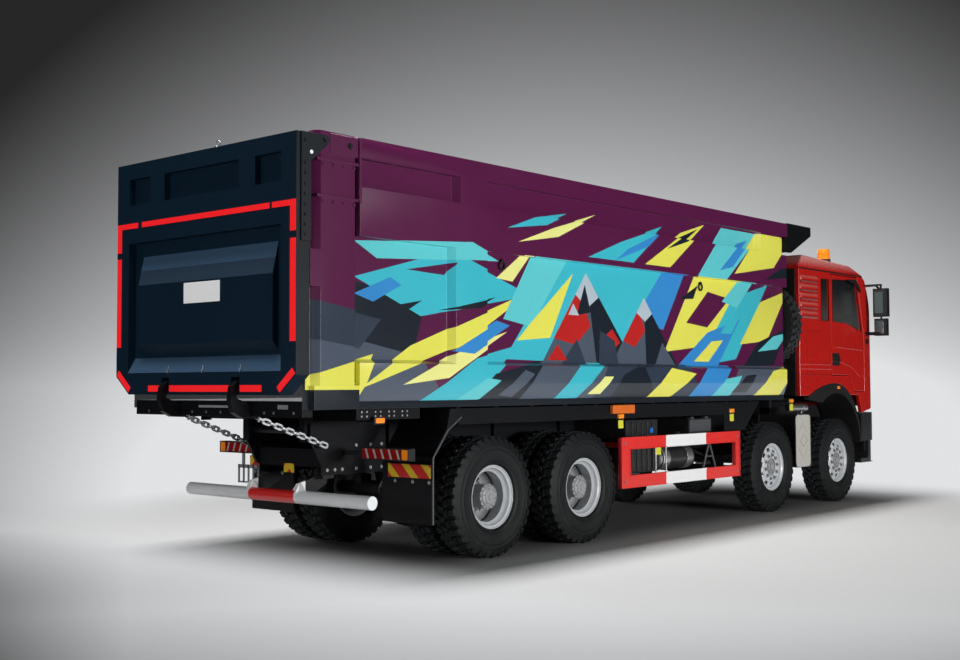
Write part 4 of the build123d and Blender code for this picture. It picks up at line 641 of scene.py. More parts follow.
# %% The pattern on the bed's sides
PLUM = (0.088, 0.008, 0.052)
CYAN, PALE_CYAN, BLUE = (0.045, 0.46, 0.56), (0.11, 0.56, 0.60), (0.035, 0.24, 0.58)
YELLOW, PALE_YELLOW, RED = (0.74, 0.72, 0.10), (0.78, 0.78, 0.26), (0.46, 0.016, 0.014)
SLATE, GREY_BLUE = (0.070, 0.088, 0.125), (0.030, 0.042, 0.066)
INK, SNOW = (0.010, 0.015, 0.024), (0.42, 0.50, 0.56)
SHAPES = [
    # colour, then the outline: metres ahead of the rear axle and above the ground in turn
    (SLATE, -2.3, 1.4, -2.3, 2.16, -1.2, 2.1, -0.6, 1.4),
    (INK, -1.72, 1.98, -1.72, 2.46, -0.86, 2.34, -1.02, 1.86),
    (GREY_BLUE, -2.3, 1.98, -2.3, 2.3, -1.4, 2.16, -1.66, 1.9),
    (YELLOW, -2.3, 1.4, -2.3, 1.66, -1.5, 1.86, -1.72, 1.44),
    (CYAN, -1.72, 2.5, -0.56, 2.8, 0.62, 2.46, -0.92, 2.2),
    (PALE_CYAN, -1.72, 2.8, -0.3, 2.9, 0.14, 2.76, -1.46, 2.67),
    (YELLOW, -1.72, 1.56, -1.05, 1.94, 0.66, 2.52, -0.34, 1.98),
    (PALE_YELLOW, -1.2, 1.6, -0.42, 1.92, 0.26, 2.1, -0.62, 1.66),
    (CYAN, -0.98, 1.44, -0.24, 1.84, 0.44, 1.98, -0.3, 1.44),
    (INK, -0.32, 1.44, 0.02, 1.7, 0.78, 1.84, 0.62, 1.44),
    (CYAN, 0.22, 1.84, 1.08, 2.84, 3.2, 2.84, 2.6, 1.8),
    (PALE_CYAN, 0.2, 2.22, 0.62, 2.84, 1.2, 2.84, 0.62, 2.16),
    (BLUE, 2.4, 2.3, 2.94, 2.84, 3.4, 2.84, 2.96, 2.2),
    (YELLOW, 0.4, 2.02, 0.62, 2.2, 1.3, 2.72, 0.92, 2.06),
    (SLATE, 0.78, 1.8, 1.52, 2.74, 1.92, 2.26, 1.74, 1.8),
    (INK, 1.52, 2.74, 2.4, 1.8, 1.7, 1.8),
    (RED, 0.98, 2.06, 1.38, 2.56, 1.6, 2.2, 1.34, 2.0),
    (SNOW, 1.34, 2.51, 1.52, 2.74, 1.74, 2.5, 1.54, 2.38),
    (SLATE, 1.96, 1.8, 2.58, 2.54, 2.8, 2.2, 2.66, 1.8),
    (INK, 2.58, 2.54, 3.26, 1.8, 2.62, 1.8),
    (RED, 2.18, 2.06, 2.48, 2.42, 2.6, 2.18, 2.4, 2.0),
    (RED, 1.74, 2.04, 1.98, 2.18, 2.12, 2.04, 1.9, 1.9),
    (SNOW, 2.44, 2.37, 2.58, 2.54, 2.74, 2.37, 2.6, 2.28),
    (CYAN, 1.36, 2.9, 2.06, 3.1, 3.1, 3.46, 2.3, 2.9),
    (YELLOW, 2.52, 2.9, 3.34, 3.32, 3.86, 3.46, 3.02, 2.9),
    (PALE_YELLOW, 0.36, 2.96, 0.98, 3.06, 1.7, 3.36, 0.9, 3.14),
    (PALE_CYAN, 3.6, 2.84, 4.24, 3.46, 5.1, 3.46, 4.26, 2.84),
    (YELLOW, 4.44, 2.92, 5.06, 3.46, 5.9, 3.46, 5.42, 3.06),
    (YELLOW, 2.98, 1.96, 3.62, 2.84, 4.7, 2.84, 4.06, 2.06),
    (PLUM, 3.44, 2.3, 3.92, 2.68, 4.42, 2.62, 3.9, 2.26),
    (CYAN, 3.66, 1.8, 4.5, 2.64, 5.36, 2.84, 4.56, 1.9),
    (BLUE, 3.24, 1.8, 3.9, 2.2, 4.66, 2.38, 4.12, 1.8),
    (YELLOW, 4.66, 2.08, 5.18, 2.62, 5.9, 2.8, 5.34, 2.14),
    (INK, 4.72, 1.8, 5.12, 2.12, 5.9, 2.32, 5.5, 1.84),
    (PALE_CYAN, 4.24, 2.58, 4.62, 2.84, 4.98, 2.84, 4.6, 2.52),
    (SLATE, 0.4, 1.44, 0.76, 1.82, 3.3, 1.82, 3.6, 1.44),
    (GREY_BLUE, 1.6, 1.44, 1.84, 1.82, 3.4, 1.82, 3.7, 1.44),
    (CYAN, 0.94, 1.44, 1.38, 1.82, 1.8, 1.82, 1.3, 1.44),
    (INK, 1.9, 1.44, 2.1, 1.7, 2.48, 1.82, 2.76, 1.44),
    (YELLOW, 2.58, 1.44, 3.04, 1.78, 3.56, 1.72, 3.04, 1.44),
    (BLUE, 3.44, 1.44, 3.84, 1.82, 4.38, 1.82, 4.04, 1.44),
    (SLATE, 4.3, 1.44, 4.54, 1.82, 5.9, 1.82, 5.9, 1.44),
    (PALE_CYAN, 3.94, 1.44, 4.22, 1.66, 4.6, 1.7, 4.36, 1.44),
    (YELLOW, 4.94, 1.44, 5.38, 1.76, 5.9, 1.84, 5.62, 1.44),
    (INK, -1.72, 2.2, -0.9, 2.34, -1.3, 2.14),
    (BLUE, -1.72, 2.36, -1.3, 2.52, -1.16, 2.46, -1.5, 2.3),
    (PLUM, -1.1, 2.6, -0.5, 2.7, -0.62, 2.58),
    (INK, -0.7, 2.26, 0.1, 2.42, -0.2, 2.3),
    (BLUE, -0.56, 1.9, 0.1, 2.2, 0.3, 2.16, -0.28, 1.88),
    (PALE_CYAN, -0.52, 1.44, -0.1, 1.66, 0.1, 1.64, -0.2, 1.44),
    (SLATE, 0.1, 1.5, 0.46, 1.74, 0.6, 1.7, 0.3, 1.48),
    (GREY_BLUE, 1.1, 1.8, 1.36, 2.06, 1.52, 1.8),
    (INK, 1.36, 2.3, 1.5, 2.62, 1.6, 2.34),
    (SNOW, 1.22, 2.3, 1.3, 2.42, 1.4, 2.3),
    (GREY_BLUE, 1.76, 2.16, 2.02, 2.06, 2.1, 1.8, 1.74, 1.8),
    (SLATE, 2.8, 1.82, 2.94, 2.06, 3.2, 1.82),
    (RED, 0.88, 1.84, 1.04, 2.0, 1.2, 1.84),
    (PALE_YELLOW, 0.1, 2.6, 0.46, 2.84, 0.6, 2.84, 0.34, 2.58),
    (BLUE, 1.96, 2.9, 2.6, 3.1, 2.86, 3.28, 2.2, 3.04),
    (INK, 2.96, 3.1, 3.4, 3.22, 3.72, 3.4, 3.3, 3.26),
    (CYAN, 0.2, 3.08, 0.8, 3.16, 1.2, 3.32, 0.62, 3.22),
    (BLUE, 4.1, 2.94, 4.6, 3.3, 4.86, 3.36, 4.4, 3.0),
    (INK, 5.2, 2.9, 5.6, 3.06, 5.9, 3.1, 5.9, 2.96),
    (INK, 3.3, 2.56, 3.7, 2.74, 3.6, 2.58),
    (CYAN, 4.2, 2.2, 4.5, 2.46, 4.72, 2.48, 4.46, 2.2),
    (YELLOW, 3.6, 1.86, 4.0, 2.1, 4.26, 2.12, 3.92, 1.86),
    (PALE_CYAN, 5.1, 2.0, 5.5, 2.2, 5.9, 2.26, 5.6, 2.04),
    (INK, 4.4, 1.5, 4.7, 1.7, 4.96, 1.72, 4.76, 1.5),
    (PALE_YELLOW, 1.5, 1.5, 1.76, 1.68, 1.92, 1.68, 1.72, 1.5),
]
STRETCHES = (0.55, 2.30, 4.05)
DARK_HEM, RAIL_FOOT, COLUMN_FRONT = (0.010, 0.014, 0.020), 3.482, -1.705
shape_rows = [(colour, list(zip(numbers[::2], numbers[1::2]))) for colour, *numbers in SHAPES]


def stretch_colour(start, end):
    """Colour of one stretch of the side: plum, the shapes that reach into it, dark edges."""
    shapes = [(colour, outline) for colour, outline in shape_rows
              if min(x for x, z in outline) < end and max(x for x, z in outline) > start]

    def colour(net):
        place = net.group("Place")
        x, y, z = place["X"], place["Y"], place["Z"]
        column = (x < COLUMN_FRONT) * (z > 2.395)
        base = net.mix((z > RAIL_FOOT).at_least(column), lay_shapes(net, PLUM, shapes), PLUM)
        heel = (z < 1.560) * (x < COLUMN_FRONT)
        base = net.mix(heel.at_least(z < 1.462), base, DARK_HEM)
        inner_face = (abs(y) < 1.186) * (z < 3.47)
        return net.mix(inner_face, base, (0.075, 0.075, 0.08))
    return colour


BED_SIDE = [paint(f"bed side pattern {n}", stretch_colour(start, end), 0.30, 0.3, cloud=0.10,
                  specular=0.4)
            for n, (start, end) in enumerate(zip((-9.0, *STRETCHES), (*STRETCHES, 9.0)), 1)]
PLUM_PAINT = paint("plum fittings", PLUM, 0.30, 0.5)
print("pattern shapes:", len(SHAPES))

# %% [markdown]
# Warning stripes run straight across a piece, so a comparison on one coordinate is enough.
# Chevrons repeat along a slanted line, so that one is wrapped.

# %% Striped finishes
def guard_colour(net):
    """Red frame with a white middle length."""
    x = net.group("Place")["X"]
    return net.mix((x > 2.971) * (x < 3.819), (0.70, 0.022, 0.018), (0.80, 0.80, 0.80))


def bar_colour(net):
    """White bar with a red middle length, on black arms."""
    place = net.group("Place")
    bar = net.mix(abs(place["Y"]) < 0.313, (0.84, 0.87, 0.89), (0.78, 0.015, 0.014))
    return net.mix(place["X"] > -1.503, bar, (0.0065, 0.007, 0.009))


def chevron_colour(net):
    """Slanting red and yellow bands, leaning outwards on both sides."""
    place = net.group("Place")
    band = ((abs(place["Y"]) + place["Z"]) / 0.235).reckon("FRACT")
    return net.mix(band < 0.6, (0.80, 0.55, 0.02), (0.62, 0.02, 0.015))


GUARD_STRIPES = paint("guard stripes", guard_colour, 0.35, 0.4, 0.08)
BAR_STRIPES = paint("bar stripes", bar_colour, 0.35, 0.4, 0.08)
CHEVRONS = paint("chevron boards", chevron_colour, 0.30, 0.5, 0.05)
print("striped finishes ready")

# %% [markdown]
# A lugged tyre is a casing with rubber blocks standing on it. The casing is one profile
# turned round the axle: bead, bulged wall with its raised rings, shoulder and tread floor.
# The blocks are made for one pitch and copied round. Between the shoulders they are paler: partly
# worn rubber, partly painted light on the tread.

# %% Tyres
TYRE_R = 0.5625
BLOCK_FOOT = 0.536
PITCHES = 36
PITCH = 2 * pi * TYRE_R / PITCHES
SHOULDER = 0.134
TYRE_WALL = [
    # radius, distance from the middle plane, from the bead to the tread
    (0.286, 0.11), (0.2935, 0.1215), (0.299, 0.127), (0.31, 0.1385), (0.313, 0.1415),
    (0.3165, 0.14), (0.34, 0.148), (0.343, 0.1502), (0.346, 0.1496), (0.39, 0.1535),
    (0.43, 0.154), (0.4335, 0.1552), (0.437, 0.1532), (0.47, 0.149), (0.473, 0.15),
    (0.4765, 0.1478), (0.505, 0.1425), (0.526, 0.137), (0.538, 0.129), (0.5425, 0.12),
    (0.543, 0.06),
]
CASING = TYRE_WALL + [(0.543, 0.0)] + [(r, -t) for r, t in reversed(TYRE_WALL)]


def add_tread_block(bm, centre, axis, up, t0, t1, along0, along1, skew, top):
    """One tread block: its foot on the casing, its top a little smaller."""
    forward = axis.cross(up)
    corners = [centre + axis * t + forward * a + up * BLOCK_FOOT for t, a in
               ((t0, along0), (t1, along0 + skew), (t1, along1 + skew), (t0, along1))]
    made = add_slab(bm, corners, up * (top - BLOCK_FOOT))
    upper = made[4:]
    middle = sum((v.co for v in upper), Vector()) / 4
    for v in upper:
        v.co += (middle - v.co) * 0.10
    for v in made:
        foot = centre + axis * (v.co - centre).dot(axis)
        v.co = foot + (v.co - foot).normalized() * (top if v in upper else BLOCK_FOOT)
    return made


def add_tyre(bm, centre, axis=(0, 1, 0)):
    """A whole tyre about an axle line."""
    centre, axis = Vector(centre), Vector(axis)
    add_turned(bm, CASING, centre, axis, steps=88)
    casing = set(bm.faces)
    up = axis.orthogonal().normalized()
    blocks = []
    for side in (-1, 1):
        blocks += add_tread_block(bm, centre, axis, up, side * 0.062, side * SHOULDER,
                                  0.0, PITCH * 0.62, PITCH * 0.12, TYRE_R - 0.004)
        blocks += add_tread_block(bm, centre, axis, up, side * 0.006, side * 0.056,
                                  PITCH * 0.25 * side, PITCH * (0.25 * side + 0.68),
                                  PITCH * 0.22, TYRE_R - 0.0005)
        lug = [centre + axis * (side * t) + up * r + axis.cross(up) * (PITCH * share)
               for t, r, share in ((0.131, 0.556, 0.13), (0.131, 0.556, 0.71),
                                   (0.15, 0.502, 0.66), (0.15, 0.502, 0.18))]
        blocks += add_slab(bm, lug, -axis * (side * 0.012))
    copies_round(bm, blocks, centre, axis, PITCHES)
    for face in bm.faces:
        reach = abs((face.calc_center_median() - centre).dot(axis))
        if face not in casing and reach < SHOULDER:
            face.material_index = 1


def finish_tyre(bm, node, body):
    finish_piece(bm, node + "_lugged", body, [RUBBER, TREAD_RUBBER_WEAR_AND_SHEEN],
                 replaces=(node,), smooth=28)


SINGLE, OUTER, INNER = 1.067, 1.095, 0.745
WHEELS = [
    # number, axle ahead of the rearmost, middle planes of its tyres
    (1, 7.268, (SINGLE,)), (2, 5.422, (SINGLE,)),
    (3, 1.411, (OUTER, INNER)), (4, 0.0, (OUTER, INNER)),
]
for number, axle, planes in WHEELS:
    for side, sign in SIDES:
        bm = bmesh.new()
        for plane in planes:
            add_tyre(bm, (axle, sign * plane, TYRE_R))
        finish_tyre(bm, f"tyre{'s' * (len(planes) - 1)}_{number}_{side}",
                    f"wheel_{number}_{side}")
bm = bmesh.new()
add_tyre(bm, (5.9325, -0.752, 2.365), axis=(1, 0, 0))
finish_tyre(bm, "spare_tyre", "chassis")

# %% [markdown]
# A truck wheel is a rolled rim with a pressed disc welded inside, bolted to the hub by ten
# nuts. The disc is turned as a thin sheet, two neighbouring faces in every four are taken out
# of one band as hand holes, and the sheet gets its thickness afterwards. Front discs bulge
# outwards. Rear discs sit deep between the twin tyres, a darker grey as painted shade for
# that deep dish, and the hub stands out like a drum.

# %% Rims, discs and nuts
HAND_HOLES = 10
SHEET, WASHER, STUD = 0.010, 0.004, 0.008
# The profiles give the radius, then the distance outboard from the tyre's middle plane.
RIM_PROFILE = [
    (0.2955, 0.1225), (0.2925, 0.1285), (0.287, 0.1285), (0.283, 0.118), (0.266, 0.106),
    (0.26, 0.086), (0.252, 0.072), (0.234, 0.056), (0.234, -0.02), (0.244, -0.056),
    (0.26, -0.086), (0.283, -0.118), (0.287, -0.1285), (0.2925, -0.1285), (0.2955, -0.1225),
    (0.288, -0.112), (0.264, -0.096), (0.264, 0.096), (0.288, 0.112), (0.2955, 0.1225)]
FRONT_DISC = [(0.256, 0.056), (0.25, 0.072), (0.238, 0.086), (0.196, 0.096), (0.188, 0.101),
              (0.183, 0.109), (0.11, 0.111)]
FRONT_HUB = [
    (0.0, 0.134), (0.042, 0.134), (0.048, 0.129), (0.05, 0.118), (0.078, 0.116), (0.083, 0.111),
    (0.086, 0.1), (0.109, 0.098), (0.109, -0.07), (0.0, -0.07)]
REAR_DISC = [(0.245, -0.085), (0.236, -0.106), (0.215, -0.129), (0.19, -0.142),
             (0.145, -0.154), (0.13, -0.164), (0.118, -0.166)]
REAR_HUB = [
    (0.0, 0.108), (0.03, 0.108), (0.033, 0.102), (0.064, 0.098), (0.068, 0.092), (0.09, 0.084),
    (0.096, 0.076), (0.118, 0.074), (0.119, 0.056), (0.108, 0.053), (0.108, -0.12),
    (0.13, -0.15), (0.13, -0.164), (0.11, -0.26), (0.0, -0.26)]
FRONT_BAND, REAR_BAND = (0.196, 0.238), (0.145, 0.190)
WHEEL_KINDS = {
    # twin or not: hub, its rings of bolts, ring of wheel nuts. A ring has its radius, distance
    # outboard, count, size and height.
    False: (FRONT_HUB, [(0.069, 0.1155, 8, 0.007, 0.008)], (0.147, 0.11, 10, 0.019, 0.020)),
    True: (REAR_HUB, [(0.108, 0.074, 14, 0.0075, 0.011), (0.078, 0.087, 6, 0.006, 0.009)],
           (0.153, -0.15, 10, 0.0165, 0.030)),
}


def add_disc(bm, profile, centre, axis, band):
    """Pressed disc with hand holes in one band of its radius."""
    before = set(bm.faces)
    add_turned(bm, profile, centre, axis, steps=HAND_HOLES * 4)
    side = axis.orthogonal().normalized()
    other = axis.cross(side)
    openings = {}
    for face in set(bm.faces) - before:
        arm = face.calc_center_median() - centre
        reach = (arm - axis * arm.dot(axis)).length
        turn = atan2(arm.dot(other), arm.dot(side)) % (2 * pi)
        step = int(turn / (2 * pi) * HAND_HOLES * 4)
        if band[0] < reach < band[1] and step % 4 in (1, 2):
            openings.setdefault(step // 4, []).append(face)
    for faces in openings.values():
        bm.faces.remove(bmesh.ops.dissolve_faces(bm, faces=faces, use_verts=True)["region"][0])
    sheet = [f for f in bm.faces if f not in before]
    bmesh.ops.recalc_face_normals(bm, faces=sheet)
    bmesh.ops.solidify(bm, geom=sheet, thickness=SHEET)


def add_nuts(bm, centre, axis, radius, face, count, size, height):
    """A ring of wheel nuts on washers, their studs showing."""
    foot = centre + axis.orthogonal().normalized() * radius + axis * face
    washer, top = foot + axis * WASHER, foot + axis * height
    nut = add_rod(bm, foot, washer, size * 1.35, segments=16)
    nut += add_rod(bm, washer, top, size, size * 0.88, segments=6)
    nut += add_rod(bm, top, foot + axis * (height + STUD), size * 0.5, segments=10)
    copies_round(bm, nut, centre, axis, count)


def add_hub(node, body, profile, centre, axis, rings):
    """A turned hub with its rings of small bolts."""
    bm = bmesh.new()
    add_turned(bm, profile, centre, axis, steps=48)
    for ring in rings:
        add_nuts(bm, centre, axis, *ring)
    finish_piece(bm, node + "_hub", body, HUB_GREY, smooth=35, bevel=0.0015)


for number, axle, planes in WHEELS:
    twin = len(planes) > 1
    profile, hub_rings, nut_ring = WHEEL_KINDS[twin]
    for side, sign in SIDES:
        body, node = f"wheel_{number}_{side}", f"rim{'s' * twin}_{number}_{side}"
        axis = Vector((0, sign, 0))
        centres = [Vector((axle, sign * plane, TYRE_R)) for plane in planes]
        bm = bmesh.new()
        for centre in centres:
            add_turned(bm, RIM_PROFILE, centre, axis, steps=80)
        rims = set(bm.faces)
        if twin:
            add_disc(bm, REAR_DISC, centres[0], axis, REAR_BAND)
            add_disc(bm, [(r, -t) for r, t in REAR_DISC], centres[1], axis, REAR_BAND)
        else:
            add_disc(bm, FRONT_DISC, centres[0], axis, FRONT_BAND)
        for face in bm.faces:
            face.material_index = int(twin and face not in rims)
        finish_piece(bm, node + "_steel", body, [WHEEL_SILVER, DISC_GREY_PAINTED_SHADE][:1 + twin],
                     replaces=(node,), smooth=35, bevel=0.0012)
        add_hub(node, body, profile, centres[0], axis, hub_rings)
        bm = bmesh.new()
        add_nuts(bm, centres[0], axis, *nut_ring)
        finish_piece(bm, node + "_nuts", body, STEEL, smooth=35)

# %% [markdown]
# The rest of the running gear keeps its solid shapes and gets its finish.

# %% Finishes on frame pieces
KNUCKLES = [f"knuckle_{n}_{side}" for n in (1, 2) for side, sign in SIDES]
DRESSED = [
    (CASTING, ["axles", "leaf_springs", "driveline", "engine_block", *KNUCKLES]),
    (CHASSIS, ["frame", "spare_carrier", "mudguards", "cab_floor", "gate_hooks", "bed_front"]),
    (CHAIN_STEEL, ["chains"]),
    (TANK_BLACK, ["tanks", "hoist_barrel"]),
    (CHROME, [f"hoist_stage_{k}" for k in range(1, 5)]),
    (SOFT_TRIM, ["cab_interior"]),
    (GLASS, ["cab_glass", "door_glass_right", "door_glass_left"]),
    (AMBER_LENS, ["beacons"]),
    (BLACK_PLASTIC, ["grille"]),
]
for material, nodes in DRESSED:
    for node in nodes:
        mesh = bpy.data.objects[node].data
        mesh.materials.clear()
        mesh.materials.append(material)
    print(material.name, "on", len(nodes), "nodes")

# %% [markdown]
# Folded and pressed sheet gets rounded folds. The bed's walls are cut where one material of
# the pattern ends and the next begins, and the roof's eaves are rounded most.

# %% Panels with rounded folds
walls = node_copy("bed_sides")
for cut in STRETCHES:
    bmesh.ops.bisect_plane(walls, geom=walls.verts[:] + walls.edges[:] + walls.faces[:],
                           plane_co=(cut, 0, 0), plane_no=(1, 0, 0))
paint_faces(walls, lambda middle: sum(middle.x > cut for cut in STRETCHES))
panel("bed_sides", "bed", BED_SIDE, 0.010, bm=walls)
for node, body, material, fold, slot in (
        ("side_guards", "chassis", GUARD_STRIPES, 0.010, "guard_paint"),
        ("rear_bar", "chassis", BAR_STRIPES, 0.004, "chassis_paint"),
        ("bumper", "chassis", BUMPER_PAINT, 0.010, "cab_paint"),
        ("cab_sides", "cab", RED_PAINT, 0.012, "cab_paint"),
        ("cab_front", "cab", RED_PAINT, 0.012, "cab_paint"),
        # The cab's rear wall is black plastic: partly the black panel and hoses there, partly
        # painted shade on a wall in shadow.
        ("cab_rear", "cab", BLACK_PLASTIC, 0.012, "black_plastic"),
        ("door_right", "door_right", RED_PAINT, 0.008, "cab_paint"),
        ("door_left", "door_left", RED_PAINT, 0.008, "cab_paint"),
        ("wheel_arches", "cab", BLACK_PLASTIC, 0.012, "black_plastic"),
        ("mirrors", "cab", BLACK_PLASTIC, 0.022, "black_plastic")):
    panel(node, body, material, fold)
EAVE_ROUNDING = 0.095
roof = node_copy("cab_roof")
eaves = [e for e in roof.edges if all(abs(v.co.y) > 1.249 and v.co.z > 3.15 for v in e.verts)
         and abs((e.verts[0].co - e.verts[1].co).x) > 0.05 and e.calc_face_angle(0) > radians(60)]
bmesh.ops.bevel(roof, geom=eaves, offset=EAVE_ROUNDING, segments=7, profile=0.5,
                affect="EDGES", clamp_overlap=True)
panel("cab_roof", "cab", ROOF_RED_PAINTED_SHEEN, 0.010, bm=roof)
deck = node_copy("bed_floor")
paint_faces(deck, lambda middle: middle.z > 1.465)
panel("bed_floor", "bed", [CHASSIS, BED_INSIDE], 0.004, bm=deck)
SILENCER_SHORTENED = 0.015
shell = node_copy("silencer")
rear_face = [v for v in shell.verts if v.co.x < 6.12 and v.co.z < 1.22]
bmesh.ops.translate(shell, vec=(SILENCER_SHORTENED, 0, 0), verts=rear_face)
panel("silencer", "chassis", TANK_BLACK, 0.008, bm=shell)
lamp_boxes = node_copy("lamps")
paint_faces(lamp_boxes, lambda middle: middle.x > 5.0)
panel("lamps", "chassis", [BLACK_PLASTIC, CLEAR_LENS], 0.006, bm=lamp_boxes)
# The gate's plain knob gives way to the lifting ring.
gate = node_copy("tailgate")
knob = [v for v in gate.verts if v.co.z > 3.6110 and abs(v.co.y + 0.147) < 0.05]
bmesh.ops.delete(gate, geom=knob, context="VERTS")
bmesh.ops.holes_fill(gate, edges=[e for e in gate.edges if e.is_boundary], sides=0)
paint_faces(gate, lambda middle: abs(middle.y) > 1.249)
panel("tailgate", "gate", [NAVY_PAINTED_SHEEN, SLATE_PAINT], 0.008, bm=gate, smooth=8)

# %% [markdown]
# Most small fittings are boxes, rods, rings and bolts, listed in one table per finish and
# moving body. `fittings` makes a table one piece. `pairs` also draws its left-hand copy.

# %% Helpers for small fittings
def add_bolt(bm, place, axis, size):
    """Hexagon bolt head on its washer, standing out along an axis."""
    place, axis = Vector(place), Vector(axis)
    add_rod(bm, place - axis * 0.004, place + axis * 0.002, size * 1.4, segments=14)
    add_rod(bm, place, place + axis * size * 0.8, size, size * 0.92, segments=6)


def add_ring(bm, centre, axis, radius, wire):
    """Round wire bent into a ring."""
    turns = [2 * pi * k / 10 for k in range(11)]
    add_turned(bm, [(radius + wire * cos(a), wire * sin(a)) for a in turns], centre, axis,
               steps=28)


def add_border(bm, corners, width, depth):
    """A flat band of one width along the inside of an outline, pulled out along a vector."""
    face = bm.faces.new([bm.verts.new(corner) for corner in corners])
    inner = bmesh.ops.inset_region(bm, faces=[face], thickness=width, use_even_offset=True,
                                   use_boundary=True)
    bm.faces.remove(face)
    pulled = bmesh.ops.extrude_face_region(bm, geom=inner["faces"])["geom"]
    bmesh.ops.translate(bm, vec=depth, verts=verts_of(pulled))


def slabs(name, body, finish, outlines, depth, pair=True, bevel=0.0):
    """One flat-shaded piece from outlines, all pulled out along one vector."""
    bm = bmesh.new()
    for outline in outlines:
        add_slab(bm, outline, depth)
    if pair:
        mirror_left(bm)
    finish_piece(bm, name, body, finish, bevel=bevel, smooth=0)


def fittings(name, body, finish, boxes=(), rods=(), bolts=(), rings=(), pair=False, slot=None,
             bevel=None, bolt=0.011, smooth=35):
    """One piece from tables of boxes, rods, bolts and rings."""
    bm = bmesh.new()
    for row in boxes:
        add_box(bm, *row)
    for start, end, radius in rods:
        add_rod(bm, start, end, radius)
    for place, axis in bolts:
        add_bolt(bm, place, axis, bolt)
    for row in rings:
        add_ring(bm, *row)
    if pair:
        mirror_left(bm)
    if bevel is None:
        bevel = 0.002 if boxes else 0.0
    finish_piece(bm, name, body, finish, bevel=bevel, smooth=smooth)


pairs = partial(fittings, pair=True)
print("fittings' helpers ready")

# %% [markdown]
# The tailgate has red reflective strips round its border with gaps at the hinges and hooks,
# a blank plate, bolted hinge plates, small hooks on the ledge and a lifting ring on top.

# %% Tailgate fittings
GATE_FACE = -2.396
STRIP = 0.0025
STRIP_ROWS = [
    # y from, y to, z from, z to
    (-1.246, -0.954, 3.02, 3.067), (-0.922, 0.861, 3.02, 3.067), (0.921, 1.246, 3.02, 3.067),
    (-1.246, -1.177, 2.817, 3.02), (-1.246, -1.177, 1.945, 2.76),
    (1.177, 1.246, 2.807, 3.02), (1.177, 1.246, 1.945, 2.752),
    (0.552, 0.744, 1.546, 1.601), (-0.428, 0.428, 1.546, 1.601), (-0.832, -0.552, 1.546, 1.601),
]
bm = bmesh.new()
for row in STRIP_ROWS:
    add_box(bm, GATE_FACE - STRIP, GATE_FACE + 0.002, *row)
for sign in (1, -1):
    add_slab(bm, [(GATE_FACE + 0.002, sign * y, z) for y, z in
                  ((1.243, 1.692), (1.056, 1.54), (1.02, 1.584), (1.207, 1.736))],
             (-STRIP - 0.002, 0, 0))
finish_piece(bm, "gate_strips", "gate", STRIPE_RED_PAINTED_GLOW, smooth=0)
bm = bmesh.new()
for y in (0.721, 0.207, -0.304, -0.826):
    slot_cut = add_box(bm, -2.3775, -2.374, y - 0.03, y + 0.03, 1.943, 1.952)
    bmesh.ops.rotate(bm, verts=slot_cut, cent=(-2.376, y, 1.947),
                     matrix=Matrix.Rotation(radians(-38), 3, "X"))
finish_piece(bm, "gate_slots", "gate", SEAL, smooth=0)
fittings("gate_plate", "gate", PLATE_WHITE_PAINTED_GLOW, [(-2.3795, -2.374, -0.253, 0.253, 2.306, 2.484)])
pairs("gate_hinge_bolts", "gate", SLATE_PAINT, bolt=0.014, bolts=[
    ((-2.318, -1.267, z), RIGHT)
    for z in (3.54, 3.36, 3.28, 3.19, 3.11, 3.03, 2.95, 2.87, 2.79)])
fittings("gate_small_hooks", "gate", STEEL,
         rods=[((-2.385, y, 1.772), (-2.385, y, 1.735), 0.005) for y in (0.455, -0.04, -0.547)],
         rings=[((-2.388, y, 1.722), RIGHT, 0.014, 0.0045) for y in (0.455, -0.04, -0.547)])
fittings("gate_corner_marks", "gate", PLATE_WHITE_PAINTED_GLOW, rods=[
    ((-2.2575, -1.266, 3.454), (-2.2575, -1.2715, 3.454), 0.016)])
fittings("gate_ring", "gate", STEEL, rings=[((-2.326, -0.147, 3.652), BACK, 0.029, 0.0055)],
         rods=[((-2.326, -0.147, 3.6), (-2.326, -0.147, 3.624), 0.01)])
pairs("gate_pin_heads", "gate", SLATE_PAINT, bolt=0.020, bolts=[((-2.11, -1.267, 3.57), RIGHT)])

# %% [markdown]
# The bed's rear columns carry bolted ledges and a bolted top plate. Rope rings hang under the
# upper band, and two rows of bolts hold the skirt's foot.

# %% Bed fittings
pairs("column_ledges", "bed", PLUM_PAINT, bevel=0.004, boxes=[
    (-2.19, -1.735, -1.264, -1.245, 3.404, 3.43), (-2.19, -1.735, -1.264, -1.245, 3.108, 3.134),
    (-2.045, -1.735, -1.257, -1.245, 3.474, 3.64), (-1.73, -1.702, -1.268, -1.18, 3.1, 3.645)])
pairs("column_bolts", "bed", PLUM_PAINT, bolt=0.013, bolts=[
    ((x, -1.25, z), RIGHT) for x in (-2.12, -2.007, -1.893, -1.78) for z in (3.383, 3.08)])
pairs("column_top_bolts", "bed", SLATE_PAINT, bolt=0.020, bolts=[((-1.83, -1.257, 3.56), RIGHT)])
pairs("rope_rings", "bed", SEAL,
      rings=[((x, -1.205, 2.722), RIGHT, 0.038, 0.009) for x in (0.169, 3.735)],
      rods=[((x, -1.18, 2.765), (x, -1.214, 2.765), 0.02) for x in (0.169, 3.735)])
pairs("skirt_plate", "bed", CHASSIS, [(-1.66, -0.9, -1.156, -1.148, 1.305, 1.398)])
pairs("skirt_bolts", "bed", STEEL, bolt=0.006, bolts=[
    ((-1.60 + 0.16 * k + shift, -1.156, z), RIGHT)
    for k in range(4) for shift in (0.0, 0.06) for z in (1.335, 1.372)])
fittings("sill_plates", "bed", HUB_GREY, bevel=0.001, boxes=[
    (-2.25, -2.24, -0.201, 0.204, 1.41, 1.43), (-2.25, -2.24, -0.979, -0.855, 1.404, 1.438)])
